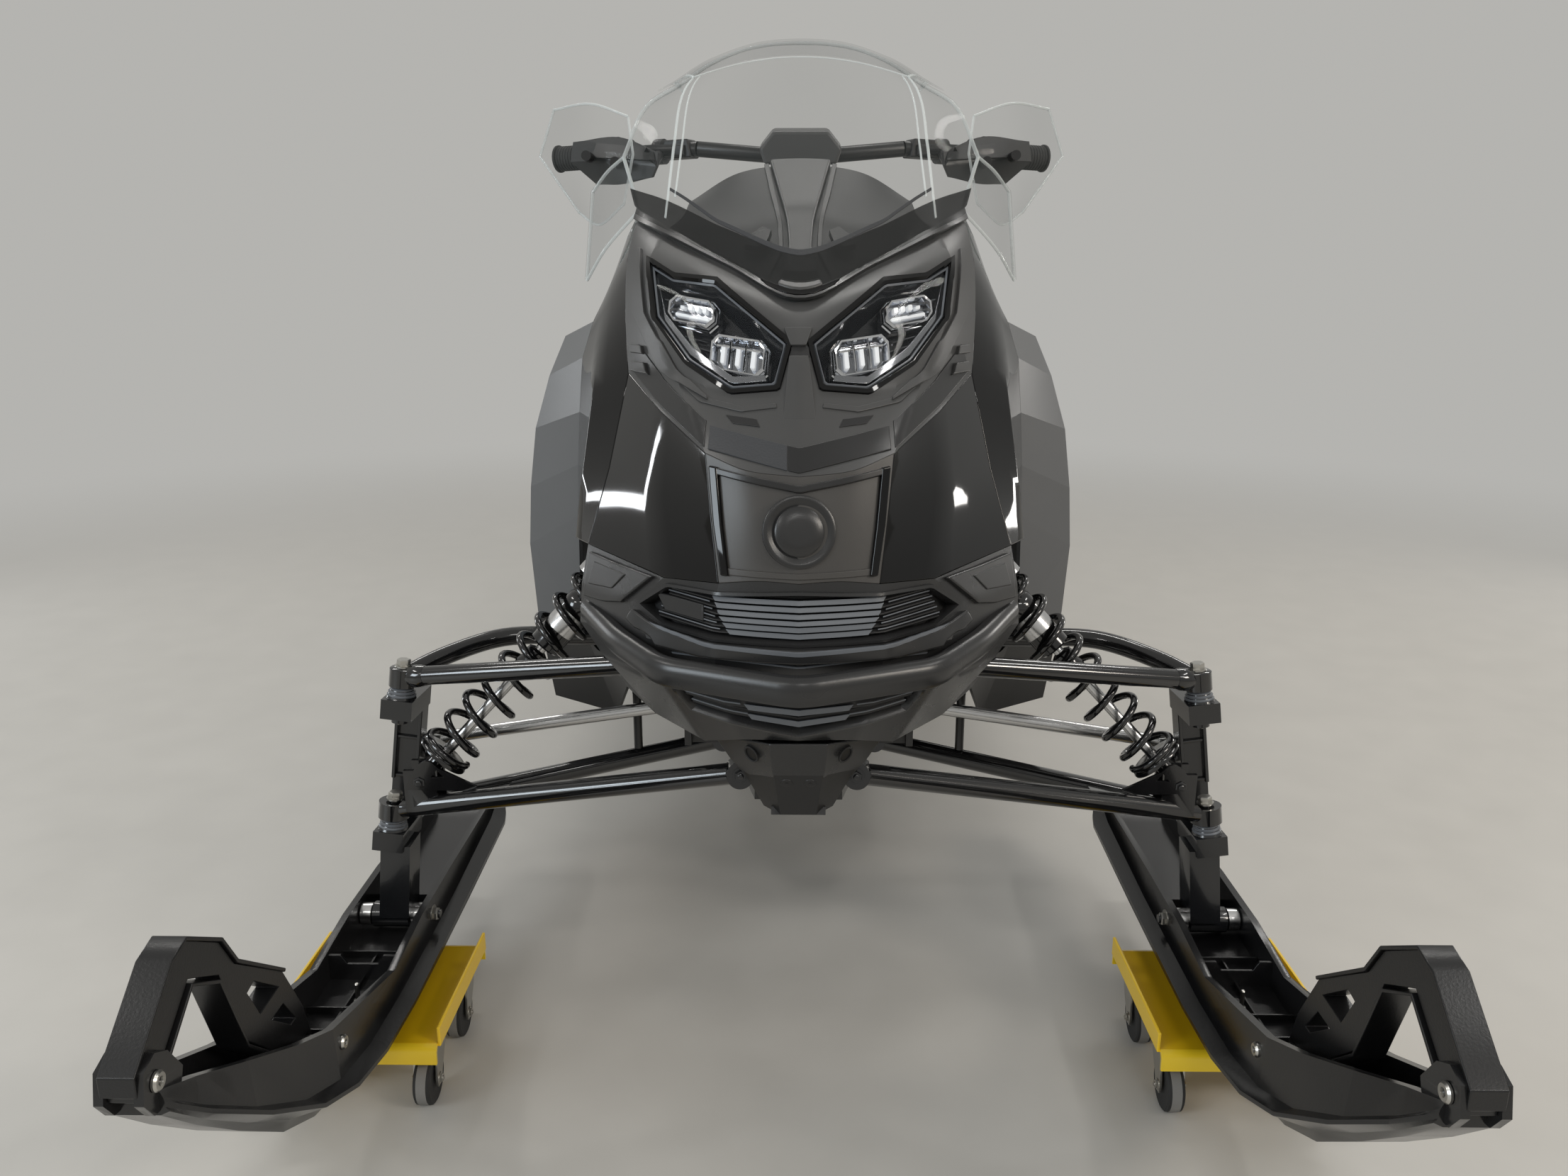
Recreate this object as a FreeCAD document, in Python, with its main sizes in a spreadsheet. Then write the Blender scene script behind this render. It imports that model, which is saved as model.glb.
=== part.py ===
"""Touring snowmobile standing level on three shop dollies.

Frame: millimetres, +Z up, the front faces -Y, the machine's left side is +X.
z = 0 is the floor under the casters, and x = y = 0 is the middle of the plan.
Tables of places use three columns: out (from the centre line), back (behind the
ski bolts) and up (over the lowest line of the skis and the track).
"""
import FreeCAD, Part
import math
import os
from types import SimpleNamespace

import Sketcher
from FreeCAD import Placement, Rotation, Vector

os.makedirs("parts", exist_ok=True)
doc = FreeCAD.newDocument("snowmobile")
sheet = doc.addObject("Spreadsheet::Sheet", "Sizes")

# Driving dimensions
SIZES = {
    # Whole machine
    "bolt_y": -944,
    "ski_stance": 1083,
    "dolly_height": 95,
    "running_gap": 0.4,
    # Skis, loops and spindles
    "ski_wall": 9,
    "sole_thick": 9,
    "ski_bolt_up": 75,
    "ski_bolt_radius": 6,
    "ski_bolt_length": 126,
    "saddle_radius": 17,
    "saddle_width": 48,
    "leg_width": 39,
    "leg_depth": 44,
    "loop_width": 24,
    "loop_pin_radius": 7,
    "joint_out": 533,
    "joint_back": 14,
    "joint_up": 222,
    "kingpin_in": 23,
    "kingpin_back": 10,
    "kingpin_rise": 180,
    "stud_radius": 7,
    "joint_ring_radius": 20,
    "joint_ring_height": 22,
    "boss_height": 26,
    "upright_depth": 20,
    "upright_width": 36,
    "steer_eye_out": 503,
    "steer_eye_back": 105,
    "steer_eye_up": 266,
    "tie_rod_radius": 9,
    "tie_rod_inner_out": 150,
    "tie_rod_inner_up": 338,
    # Suspension arms, shocks and sway bar
    "lower_tube_radius": 13,
    "upper_tube_radius": 11,
    "lower_front_pivot_out": 70,
    "lower_front_pivot_back": -125,
    "lower_front_pivot_up": 337,
    "lower_rear_pivot_out": 110,
    "lower_rear_pivot_back": 180,
    "lower_rear_pivot_up": 255,
    "upper_front_pivot_out": 150,
    "upper_front_pivot_back": -85,
    "upper_front_pivot_up": 460,
    "upper_rear_pivot_out": 150,
    "upper_rear_pivot_back": 150,
    "upper_knee_out": 400,
    "upper_knee_back": 112,
    "upper_knee_up": 428,
    "upper_rear_pivot_up": 418,
    "shock_foot_out": 487,
    "shock_foot_back": 10,
    "shock_foot_up": 272,
    "shock_head_out": 190,
    "shock_head_back": 93,
    "shock_head_up": 586,
    "shock_body_radius": 21,
    "shock_shaft_radius": 7,
    "spring_radius": 31,
    "spring_wire": 4.5,
    "spring_turns": 7,
    "sway_link_out": 225,
    # Frame and engine
    "bushing_radius": 16,
    "tower_inner": 126,
    "tower_thick": 8,
    "frame_deck_up": 377,
    "skid_width": 62,
    "engine_width": 240,
    "engine_front": -60,
    "engine_length": 230,
    "engine_height": 330,
    "corner_up": 750,
    "ledge_reach": 10,
    "badge_relief": 5,
    "panel_thick": 6,
    "screen_thick": 4,
    "lap_share": 0.25,
    "lamp_edge": 2,
    # Tunnel, boards and rear
    "tunnel_width": 410,
    "tunnel_front": 330,
    "tunnel_rear": 2330,
    "tunnel_top": 480,
    "tunnel_low": 245,
    "sheet_thick": 3,
    "board_half_width": 400,
    "board_front": 420,
    "board_rear": 1780,
    "board_up": 245,
    "board_thick": 8,
    "seat_front": 600,
    "seat_step": 1220,
    "seat_rear": 1740,
    "seat_top": 690,
    "pillion_top": 750,
    "seat_width": 300,
    "backrest_top": 1100,
    "backrest_thick": 70,
    "lamp_drop": 70,
    "lamp_height": 40,
    "rack_rear": 2500,
    "rack_up": 560,
    "rack_tube_radius": 12,
    "flap_length": 330,
    # Track and its suspension
    "track_room": 14.5,
    "belt_thick": 7,
    "lug_height": 32,
    "lug_count": 48,
    "drive_back": 590,
    "drive_up": 335,
    "drive_radius": 90,
    "rail_front": 960,
    "rail_bend_radius": 220,
    "idler_back": 1990,
    "idler_radius": 104,
    "rail_out": 95,
    "rail_width": 22,
    "rail_height": 52,
    "bogie_radius": 45,
    "carrier_back": 1350,
    "carrier_up": 238,
    "carrier_radius": 60,
    "carrier_out": 110,
    "bogie_width": 24,
    "axle_radius": 11,
    # Steering
    "bar_back": 412,
    "bar_up": 1066,
    "bar_half_width": 372,
    "bar_sweep": 105,
    "bar_radius": 11,
    "grip_radius": 17,
    "grip_length": 125,
    "column_foot_back": 205,
    "column_foot_up": 640,
    "column_radius": 14,
    "column_hole_gap": 6,
    "arm_room": 8,
    # Dollies
    "tray_width": 216,
    "tray_length": 214,
    "tray_back": -65,
    "tray_thick": 4,
    "tray_lip": 22,
    "track_tray_width": 380,
    "track_tray_length": 260,
    "track_tray_back": 1420,
    "caster_radius": 32,
    "caster_width": 22,
    "caster_trail": 20,
    "caster_inset": 26,
    "caster_end_inset": 39.5,
}


class Size(float):
    """A length with the sheet formula that it comes from."""

    def __new__(cls, value, formula):
        number = float.__new__(cls, value)
        number.formula = formula
        return number

    def __add__(self, other):
        return Size(float(self) + float(other), f"({self.formula} + {formula_of(other)})")

    def __radd__(self, other):
        return Size(float(other) + float(self), f"({formula_of(other)} + {self.formula})")

    def __sub__(self, other):
        return Size(float(self) - float(other), f"({self.formula} - {formula_of(other)})")

    def __rsub__(self, other):
        return Size(float(other) - float(self), f"({formula_of(other)} - {self.formula})")

    def __mul__(self, other):
        return Size(float(self) * float(other), f"({self.formula} * {formula_of(other)})")

    __rmul__ = __mul__

    def __truediv__(self, other):
        return Size(float(self) / float(other), f"({self.formula} / {formula_of(other)})")

    def __neg__(self):
        return Size(-float(self), f"(0 - {self.formula})")


def formula_of(number):
    return number.formula if isinstance(number, Size) else repr(round(float(number), 6))


for row, (name, value) in enumerate(SIZES.items(), start=1):
    sheet.set(f"A{row}", name)
    sheet.set(f"B{row}", str(value))
    sheet.setAlias(f"B{row}", name)
doc.recompute()
s = SimpleNamespace(**{name: Size(value, "Sizes." + name) for name, value in SIZES.items()})
s.track_width = s.tunnel_width - 2 * s.track_room

nodes = {}
FACE_GAP = 0.2
SLIVER_AREA = 1e-6


# Helpers for places and shapes

def back(distance):
    """Y of a place this far behind the ski bolts."""
    return s.bolt_y + distance


def up(height):
    """Z of a place this high over the lowest line of the skis and the track."""
    return s.dolly_height + height


def place(out, behind, height):
    return Vector(out, back(behind), up(height))


def rod(start, end, radius):
    run = end - start
    return Part.makeCylinder(radius, run.Length, start, run)


def collar(centre, axis, outer, inner, height):
    direction = Vector(axis).normalize()
    base = centre - direction * (height / 2)
    ring = Part.makeCylinder(outer, height, base, direction)
    if inner <= 0:
        return ring
    return ring.cut(Part.makeCylinder(inner, height + 2, base - direction, direction))


def polygon_wire(points):
    return Part.makePolygon(list(points) + [points[0]])


def prism(points, direction):
    return Part.Face(polygon_wire(points)).extrude(direction)


def loft(sections):
    """Straight-sided solid through closed sections with equally many corners."""
    return Part.makeLoft([polygon_wire(section) for section in sections], True, True)


def box(low, high):
    size = high - low
    return Part.makeBox(size.x, size.y, size.z, low)


def fuse(shapes):
    joined = shapes[0]
    if len(shapes) > 1:
        joined = joined.fuse(shapes[1:])
    return joined.removeSplitter()


def mirrored(shape):
    return shape.mirror(Vector(0, 0, 0), Vector(1, 0, 0))


def both_sides(shapes):
    return list(shapes) + [mirrored(shape) for shape in shapes]


def corner_normals(panels):
    """Mean inward direction at each named corner, over all the panels that meet there."""
    total = {}
    for rows in panels:
        names = [row.split() for row in rows]
        for i in range(len(names) - 1):
            for j in range(len(names[0]) - 1):
                cell = (names[i][j], names[i][j + 1], names[i + 1][j + 1], names[i + 1][j])
                a, b, c, d = [place(*CORNERS[name]) for name in cell]
                normal = (c - a).cross(d - b).normalize()
                for name in cell:
                    total[name] = total.get(name, Vector()) + normal
    for name, normal in total.items():
        if CORNERS[name][0] == 0:
            normal.x = 0
        normal.normalize()
    return total


def split_quad(a, b, c, d):
    """Two triangles on the shorter diagonal."""
    if (a - c).Length <= (b - d).Length:
        halves = ((a, b, c), (a, c, d))
    else:
        halves = ((a, b, d), (b, c, d))
    return [Part.Face(polygon_wire(half)) for half in halves
            if (half[1] - half[0]).cross(half[2] - half[0]).Length > SLIVER_AREA]


def wall(rows, normals, start, thickness, whole=False):
    """Closed wall between two depths behind named corners; a whole one crosses the centre line."""
    layers = []
    for depth in (start, start + thickness):
        grid = []
        for row in rows:
            line = [place(*CORNERS[name]) + normals[name] * depth for name in row.split()]
            if whole:
                line = [Vector(-p.x, p.y, p.z) for p in reversed(line[1:])] + line
            grid.append(line)
        layers.append(grid)
    outer, inner = layers
    last_row, last_column = len(outer) - 1, len(outer[0]) - 1
    faces = []
    for i in range(last_row):
        for j in range(last_column):
            for grid in layers:
                faces += split_quad(grid[i][j], grid[i][j + 1], grid[i + 1][j + 1], grid[i + 1][j])
    for j in range(last_column):
        for i in (0, last_row):
            faces += split_quad(outer[i][j], outer[i][j + 1], inner[i][j + 1], inner[i][j])
    for i in range(last_row):
        for j in (0, last_column):
            faces += split_quad(outer[i][j], outer[i + 1][j], inner[i + 1][j], inner[i][j])
    return closed_solid(faces)


def closed_solid(faces):
    shell = Part.makeShell(faces)
    shell.sewShape()
    solid = Part.Solid(Part.Shell(shell.Faces))
    if solid.Volume < 0:
        solid.reverse()
    return solid


def node(label, shapes):
    """One sub-part made straight from solids."""
    feature = doc.addObject("Part::Feature", label)
    feature.Label = label
    solids = shapes if isinstance(shapes, list) else [shapes]
    feature.Shape = solids[0] if len(solids) == 1 else Part.makeCompound(solids)
    feature.Placement = Placement()
    nodes[label] = feature
    return feature


def set_size(thing, path, size):
    if isinstance(size, Size):
        thing.setExpression(path, size.formula)


def new_body(name):
    body = doc.addObject("PartDesign::Body", name)
    body.Label = name
    return body


def sketch_outline(body, plane, outlines, offset):
    """Closed outlines whose corners are tied to the sheet."""
    sketch = body.newObject("Sketcher::SketchObject", body.Name + "_outline")
    origin = [item for item in body.Origin.OriginFeatures if item.Role == plane + "_Plane"][0]
    sketch.AttachmentSupport = (origin, [""])
    sketch.MapMode = "FlatFace"
    sketch.AttachmentOffset = Placement(Vector(0, 0, float(offset)), Rotation())
    set_size(sketch, "AttachmentOffset.Base.z", offset)
    first = 0
    for outline in outlines:
        count = len(outline)
        for i, (across, along) in enumerate(outline):
            after = outline[(i + 1) % count]
            sketch.addGeometry(Part.LineSegment(Vector(across, along, 0), Vector(after[0], after[1], 0)), False)
        for i in range(count):
            sketch.addConstraint(Sketcher.Constraint("Coincident", first + i, 2, first + (i + 1) % count, 1))
        for i, corner in enumerate(outline):
            for kind, distance in zip(("DistanceX", "DistanceY"), corner):
                tie = sketch.addConstraint(Sketcher.Constraint(kind, -1, 1, first + i, 1, float(distance)))
                set_size(sketch, f"Constraints[{tie}]", distance)
        first += count
    return sketch


def pad(body, plane, outlines, length, offset=0.0, midplane=True):
    feature = body.newObject("PartDesign::Pad", body.Name + "_pad")
    feature.Profile = sketch_outline(body, plane, outlines, offset)
    feature.Midplane = midplane
    feature.Length = float(length)
    set_size(feature, "Length", length)
    return feature


def pocket(body, plane, outlines, length, offset=0.0):
    feature = body.newObject("PartDesign::Pocket", body.Name + "_pocket")
    feature.Profile = sketch_outline(body, plane, outlines, offset)
    feature.Midplane = True
    feature.Length = float(length)
    set_size(feature, "Length", length)
    return feature


def keep(label, thing):
    thing.Label = label
    nodes[label] = thing
    return thing


def pair(label, thing):
    """A sub-part with a copy on the other side of the machine."""
    twin = doc.addObject("Part::Mirroring", thing.Name + "_twin")
    twin.Source = thing
    twin.Normal = Vector(1, 0, 0)
    group = doc.addObject("Part::Compound", label)
    group.Links = [thing, twin]
    return keep(label, group)


def group(label, things):
    whole = doc.addObject("Part::Compound", label)
    whole.Links = things
    return keep(label, whole)



# Bulkhead frame, skid plate and engine

def make_frame():
    """Lower box that carries the arms, with a tower plate on each side and the steering post."""
    lower_front = s.lower_front_pivot_back - 25
    rear_half = s.lower_rear_pivot_out - s.bushing_radius
    taper = (s.lower_rear_pivot_out - s.lower_front_pivot_out) / (s.lower_rear_pivot_back - s.lower_front_pivot_back)
    front_half = s.lower_front_pivot_out - s.bushing_radius - taper * 25
    rear_low = s.lower_rear_pivot_up - 22
    deck = s.frame_deck_up
    outer_reach = s.tower_inner + s.tower_thick
    stations = (
        # back, half width, bottom
        (lower_front, front_half, s.lower_front_pivot_up - 22),
        (s.lower_rear_pivot_back, rear_half, rear_low),
        (s.tunnel_front, rear_half, s.tunnel_low),
    )
    spine = loft([[place(-half, behind, low), place(half, behind, low),
                   place(half, behind, deck), place(-half, behind, deck)] for behind, half, low in stations])
    _, front, rear = arm_points("lower")
    sockets = [collar(pivot, rear - front, s.bushing_radius + FACE_GAP, 0, BUSHING_LENGTH + 2)
               for pivot in (front, rear)]
    bar_bore = rod(place(-outer_reach, SWAY_BACK, SWAY_UP), place(outer_reach, SWAY_BACK, SWAY_UP),
                   SWAY_RADIUS + FACE_GAP)
    spine = spine.cut(both_sides(sockets) + [bar_bore])
    outer = outer_reach
    floor = box(place(-outer, s.upper_front_pivot_back - 20, deck - 10), place(outer, s.tunnel_front, deck))
    tower_front = s.upper_front_pivot_back - 30
    tower_rear = s.upper_rear_pivot_back
    crown = s.shock_head_up + 26
    shoulder = s.upper_front_pivot_up + 20
    profile = [(tower_front, deck - 10), (tower_rear, deck - 10), (tower_rear, crown - 52),
               (s.shock_head_back + 25, crown), (s.shock_head_back - 27, crown),
               (tower_front + 55, shoulder + 20), (tower_front, shoulder)]
    tower = prism([place(s.tower_inner, behind, height) for behind, height in profile], Vector(s.tower_thick, 0, 0))
    head = place(s.shock_head_out, s.shock_head_back, s.shock_head_up)
    ears = [box(head + Vector(-s.shock_head_out + outer, side - 3, -20), head + Vector(18, side + 3, 20))
            for side in (-19, 19)]
    steer_foot, steer_axis = steering_line()
    post_top = steer_foot + steer_axis * 60
    post = box(Vector(-22, post_top.y - 20, up(deck)), Vector(22, post_top.y + 30, post_top.z - 6))
    seat = collar(post_top, steer_axis, s.column_radius + 12, s.column_radius + s.running_gap, 30)
    clearance = Part.makeCylinder(s.column_radius + s.running_gap, 200, steer_foot - steer_axis * 60, steer_axis)
    post = post.cut(clearance)
    node("bulkhead_frame", fuse([spine, floor, post, seat] + both_sides([tower] + ears)))


def steering_line():
    foot = place(0, s.column_foot_back, s.column_foot_up)
    head = place(0, s.bar_back, s.bar_up)
    return foot, (head - foot).normalize()


def make_skid_plate():
    """Folded sheet: a V-shaped front under the fascia and a flat strip back under the frame."""
    front = s.lower_front_pivot_back - 25
    low = s.lower_front_pivot_up - 22
    rear = s.lower_rear_pivot_back
    rear_low = s.lower_rear_pivot_up - 22
    rings = []
    for height, side, side_back, nose, nose_back in ((low + 88, 86, front - 22, 30, front - 78),
                                                      (low - 4, 40, front - 8, 20, front - 32)):
        outer = [(-side, side_back), (-nose, nose_back), (nose, nose_back), (side, side_back)]
        inner = [(side - 6, side_back + 6), (nose - 3, nose_back + 7), (3 - nose, nose_back + 7),
                 (6 - side, side_back + 6)]
        rings.append([place(out, behind, height) for out, behind in outer + inner])
    strip = [(front - 32, low - 4), (front, low - 8), (rear, rear_low - 8), (rear, rear_low), (front, low),
             (front - 27, low + 4)]
    half = s.skid_width / 2
    flat = prism([place(-half, behind, height) for behind, height in strip], Vector(s.skid_width, 0, 0))
    node("skid_plate", fuse([loft(rings), flat]))


def make_engine():
    body = new_body("engine")
    rear = s.engine_front + s.engine_length
    outline = [(back(s.engine_front), up(s.frame_deck_up)), (back(rear), up(s.frame_deck_up)),
               (back(rear), up(s.frame_deck_up + s.engine_height)),
               (back(s.engine_front), up(s.frame_deck_up + s.engine_height))]
    pad(body, "YZ", [outline], s.engine_width)
    keep("engine_block", body)


# Bodywork: panels share named corners, so that neighbours meet in one seam

CORNERS = {
    # name: out, back, height over s.corner_up. Letters run outwards and numbers run down.
    "a0": (0, -95, 130), "b0": (80, -30, 163), "c0": (157, 45, 205), "d0": (197, 108, 229),
    "a1": (0, -128, 103), "b1": (88, -78, 143), "c1": (172, -14, 167), "d1": (207, 58, 171),
    "a2": (0, -157, 76), "b2": (90, -118, 90), "c2": (164, -58, 107), "d2": (206, 18, 108),
    "a3": (0, -197, 35), "b3": (74, -170, 34), "c3": (136, -112, 50), "d3": (198, -28, 43),
    "a4": (0, -270, -37), "b4": (52, -262, -32), "c4": (94, -240, -18), "d4": (150, -136, 12),
    "a5": (0, -283, -86), "b5": (46, -276, -83), "c5": (88, -258, -78), "e5": (155, -178, -70),
    "a6": (0, -295, -139), "b6": (40, -288, -138), "c6": (80, -277, -143), "e6": (140, -228, -150),
    "a7": (0, -298, -180), "b7": (42, -292, -180), "c7": (85, -283, -180), "e7": (176, -196, -184),
    "a8": (0, -292, -220), "b8": (42, -288, -219), "c8": (85, -280, -218), "e8": (160, -228, -215),
    "a9": (0, -284, -270), "b9": (40, -279, -269), "c9": (80, -271, -268), "e9": (142, -236, -265),
    "a10": (0, -240, -325), "b10": (30, -233, -327), "c10": (60, -225, -330), "e10": (104, -190, -346),
    "f5": (219, -62, -62), "f6": (242, -90, -146), "f7": (250, -98, -190), "f8": (253, -102, -235),
    "f9": (225, -120, -270), "f10": (170, -96, -350),
    "g0": (215, 125, 200), "g1": (238, 95, 130), "g2": (242, 50, 75), "g3": (247, 10, 20),
    "g5": (258, -18, -70), "g6": (266, -40, -150), "s9": (258, 20, -298), "s10": (230, 80, -380),
    "h0": (232, 150, 155), "h1": (262, 118, 95), "h2": (278, 122, 50), "h3": (286, 128, -20),
    "h5": (292, 134, -90), "h6": (296, 140, -160), "h7": (300, 146, -310), "h10": (262, 190, -460),
    "k0": (150, 262, 100), "k1": (318, 222, 72), "k2": (340, 210, 20), "k3": (360, 198, -50),
    "k5": (370, 193, -130), "k6": (375, 191, -210), "k7": (370, 196, -316), "k10": (366, 262, -460),
    "m0": (112, 402, 56), "m1": (292, 380, 56), "m2": (318, 380, 10), "m3": (338, 380, -55),
    "m5": (352, 380, -135), "m6": (358, 380, -220), "m7": (356, 380, -320), "m10": (352, 350, -488),
    "n0": (40, 608, -44), "n1": (90, 618, -46), "n2": (104, 620, -82), "n3": (126, 624, -130),
    "n5": (132, 630, -190), "n6": (140, 636, -250), "n7": (190, 640, -298), "j0": (140, 232, 130),
    # Console and clear screens
    "o0": (0, 215, 290), "o1": (80, 205, 280), "o2": (143, 180, 242),
    "p0": (0, 60, 208), "p1": (70, 82, 212), "p2": (146, 118, 222),
    "w0": (0, 190, 431), "w1": (60, 184, 425), "w2": (108, 172, 406), "w3": (150, 170, 380),
    "x0": (0, 165, 400), "x1": (75, 160, 390), "x2": (141, 148, 368), "x3": (192, 165, 354),
    "y0": (0, 65, 292), "y1": (82, 88, 292), "y2": (152, 112, 296), "y3": (221, 155, 294),
    "y4": (247, 190, 280), "y5": (274, 232, 258), "z4": (250, 170, 185), "z5": (288, 240, 145),
    # Hand guards and their clear screens
    "ga": (202, 365, 320), "gb": (262, 398, 344), "gc": (334, 430, 340),
    "gd": (204, 360, 302), "ge": (266, 388, 312), "gf": (338, 424, 312),
    "gg": (212, 366, 286), "gh": (262, 390, 278), "gi": (300, 420, 280),
    "sa": (244, 372, 368), "sb": (300, 400, 388), "sc": (363, 446, 386),
    "sd": (236, 352, 316), "se": (304, 384, 322), "sf": (387, 446, 321),
    "sg": (252, 362, 250), "sh": (292, 382, 222), "si": (326, 414, 240),
}
CORNERS = {name: (out, behind, height + s.corner_up) for name, (out, behind, height) in CORNERS.items()}
for column in "abcd":
    top_corner, lower_corner = Vector(*CORNERS[column + "0"]), Vector(*CORNERS[column + "1"])
    CORNERS["lap_" + column] = tuple(top_corner + (lower_corner - top_corner) * s.lap_share)

COWL = ("a0 b0 c0 d0", "a1 b1 c1 d1", "a2 b2 c2 d2", "a3 b3 c3 d3", "a4 b4 c4 d4")
BADGE = ("a4 b4 c4", "a5 b5 c5", "a6 b6 c6")
CHEEK = ("c4 d4 d3", "c5 e5 f5", "c6 e6 f6")
SIDE_PANEL = ("d0 g0 h0", "d1 g1 h1", "d2 g2 h2", "d3 g3 h3", "f5 g5 h5", "f6 g6 h6")
SIDE_COVER = ("j0 k0 m0 n0", "h1 k1 m1 n1", "h2 k2 m2 n2", "h3 k3 m3 n3",
              "h5 k5 m5 n5", "h6 k6 m6 n6", "h7 k7 m7 n7")
FASCIA = ("a6 b6 c6 e6 f6", "a7 b7 c7 e7 f7", "a8 b8 c8 e8 f8", "a9 b9 c9 e9 f9", "a10 b10 c10 e10 f10")
BELLY = ("f9 s9 h7 k7 m7", "f10 s10 h10 k10 m10")
CONSOLE = ("o0 o1 o2", "p0 p1 p2", "a0 b0 c0")
SCREEN = ("w0 w1 w2 w3", "x0 x1 x2 x3", "y0 y1 y2 y3", "a0 b0 c0 d0", "lap_a lap_b lap_c lap_d")
DEFLECTOR = ("y3 y4 y5", "d0 z4 z5")
HAND_GUARD = ("ga gb gc", "gd ge gf", "gg gh gi")
HAND_SCREEN = ("sa sb sc", "sd se sf", "sg sh si")

BODY_NORMALS = corner_normals((COWL, BADGE, CHEEK, SIDE_PANEL, SIDE_COVER, FASCIA, BELLY, CONSOLE))
GLASS_NORMALS = corner_normals((SCREEN, DEFLECTOR))
GUARD_NORMALS = corner_normals((HAND_GUARD, HAND_SCREEN))

# Front views of openings: out, up
HEADLAMP = ((172, 918), (141, 901), (92, 896), (11, 834), (23, 791), (72, 786), (122, 812), (162, 857))
UPPER_GRILLE = ((0, 600), (134, 592), (166, 566), (140, 554), (0, 551))
LOWER_GRILLE = ((0, 500), (132, 494), (112, 460), (0, 437))
# Raised forms: the ledge under the upper grille, and the lip, sill and side rails of the badge plate
LEDGE = ((0, 548), (138, 550), (168, 560), (178, 548), (144, 533), (0, 531))
BADGE_LIP = ((0, 704), (85, 719), (84, 712), (0, 697))
BADGE_SILL = ((0, 621), (74, 623), (73, 616), (0, 615))
BADGE_RAIL = ((80, 718), (88, 719), (83, 664), (76, 616), (69, 616), (75, 664))
NOSE_REACH = (-420, 80)


def front_prism(outline, shrink=0.0):
    """Solid bar along Y through the nose whose front view is an outline."""
    middle_x = sum(corner[0] for corner in outline) / len(outline)
    middle_z = sum(corner[1] for corner in outline) / len(outline)
    near, far = NOSE_REACH
    points = []
    for out, height in outline:
        share = 1 - shrink / math.hypot(out - middle_x, height - middle_z)
        points.append(place(middle_x + (out - middle_x) * share, near,
                            middle_z + (height - middle_z) * share))
    return prism(points, Vector(0, far - near, 0))


def across(outline):
    """An outline that starts and ends on the centre line, closed on the other side."""
    return list(outline) + [(-out, height) for out, height in reversed(outline) if out > 0]


def make_cowl():
    """Cowl with a slanted opening for each headlamp, a lens in it and a lamp bowl behind it."""
    shell = wall(COWL, BODY_NORMALS, 0, s.panel_thick, whole=True)
    node("headlight_cowl", shell.cut(both_sides([front_prism(HEADLAMP)])))
    opening = front_prism(HEADLAMP, shrink=s.lamp_edge)
    lens_front = 1.5
    lens_rear = lens_front + s.screen_thick
    lens = wall(COWL, BODY_NORMALS, lens_front, s.screen_thick, whole=True)
    node("headlamp_lenses", both_sides([lens.common(opening)]))
    bowl = wall(COWL, BODY_NORMALS, lens_rear, 24, whole=True).common(opening)
    flange = wall(COWL, BODY_NORMALS, s.panel_thick, 5, whole=True).common(front_prism(HEADLAMP, shrink=-8))
    node("headlamp_bowls", both_sides([bowl.fuse(flange)]))


def make_fascia():
    """Nose fascia with two grilles; each grille is a stack of bars on a backing sheet."""
    shell = wall(FASCIA, BODY_NORMALS, 0, s.panel_thick, whole=True)
    openings = [front_prism(across(outline)) for outline in (UPPER_GRILLE, LOWER_GRILLE)]
    ledge = wall(FASCIA, BODY_NORMALS, -s.ledge_reach, s.ledge_reach + s.panel_thick / 2, whole=True)
    node("nose_fascia", shell.cut(openings).fuse(ledge.common(front_prism(across(LEDGE)))))
    bar_front, bar_depth, bar_height, backing_thick = 2, 10, 3.5, 3
    bars = wall(FASCIA, BODY_NORMALS, bar_front, bar_depth, whole=True)
    backing = wall(FASCIA, BODY_NORMALS, bar_front + bar_depth, backing_thick, whole=True)
    near, far = NOSE_REACH
    pieces = []
    for opening, low, high, count in ((openings[0], 556, 593, 6), (openings[1], 446, 488, 3)):
        pitch = (high - low) / (count - 1)
        slabs = [box(place(-200, near, low + i * pitch), place(200, far, low + i * pitch + bar_height))
                 for i in range(count)]
        slats = bars.common(opening).common(Part.makeCompound(slabs))
        pieces.append(backing.common(opening).fuse(slats.Solids))
    node("grille_slats", pieces)


def make_side_covers():
    """Knee panels, trimmed where they meet the tank cover and the tunnel."""
    cover = wall(SIDE_COVER, BODY_NORMALS, 0, s.panel_thick)
    half = s.tunnel_width / 2
    tunnel = box(place(-half, s.tunnel_front, s.tunnel_low), place(half, s.tunnel_rear, s.tunnel_top))
    return cover.cut([tank_solid(), tunnel])


def make_belly():
    """Lower side panels, open round the upper arm tubes."""
    belly = wall(BELLY, BODY_NORMALS, 0, s.panel_thick)
    room = s.upper_tube_radius + s.arm_room
    return belly.cut([rod(start, end, room) for start, end in upper_tubes()])


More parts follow.
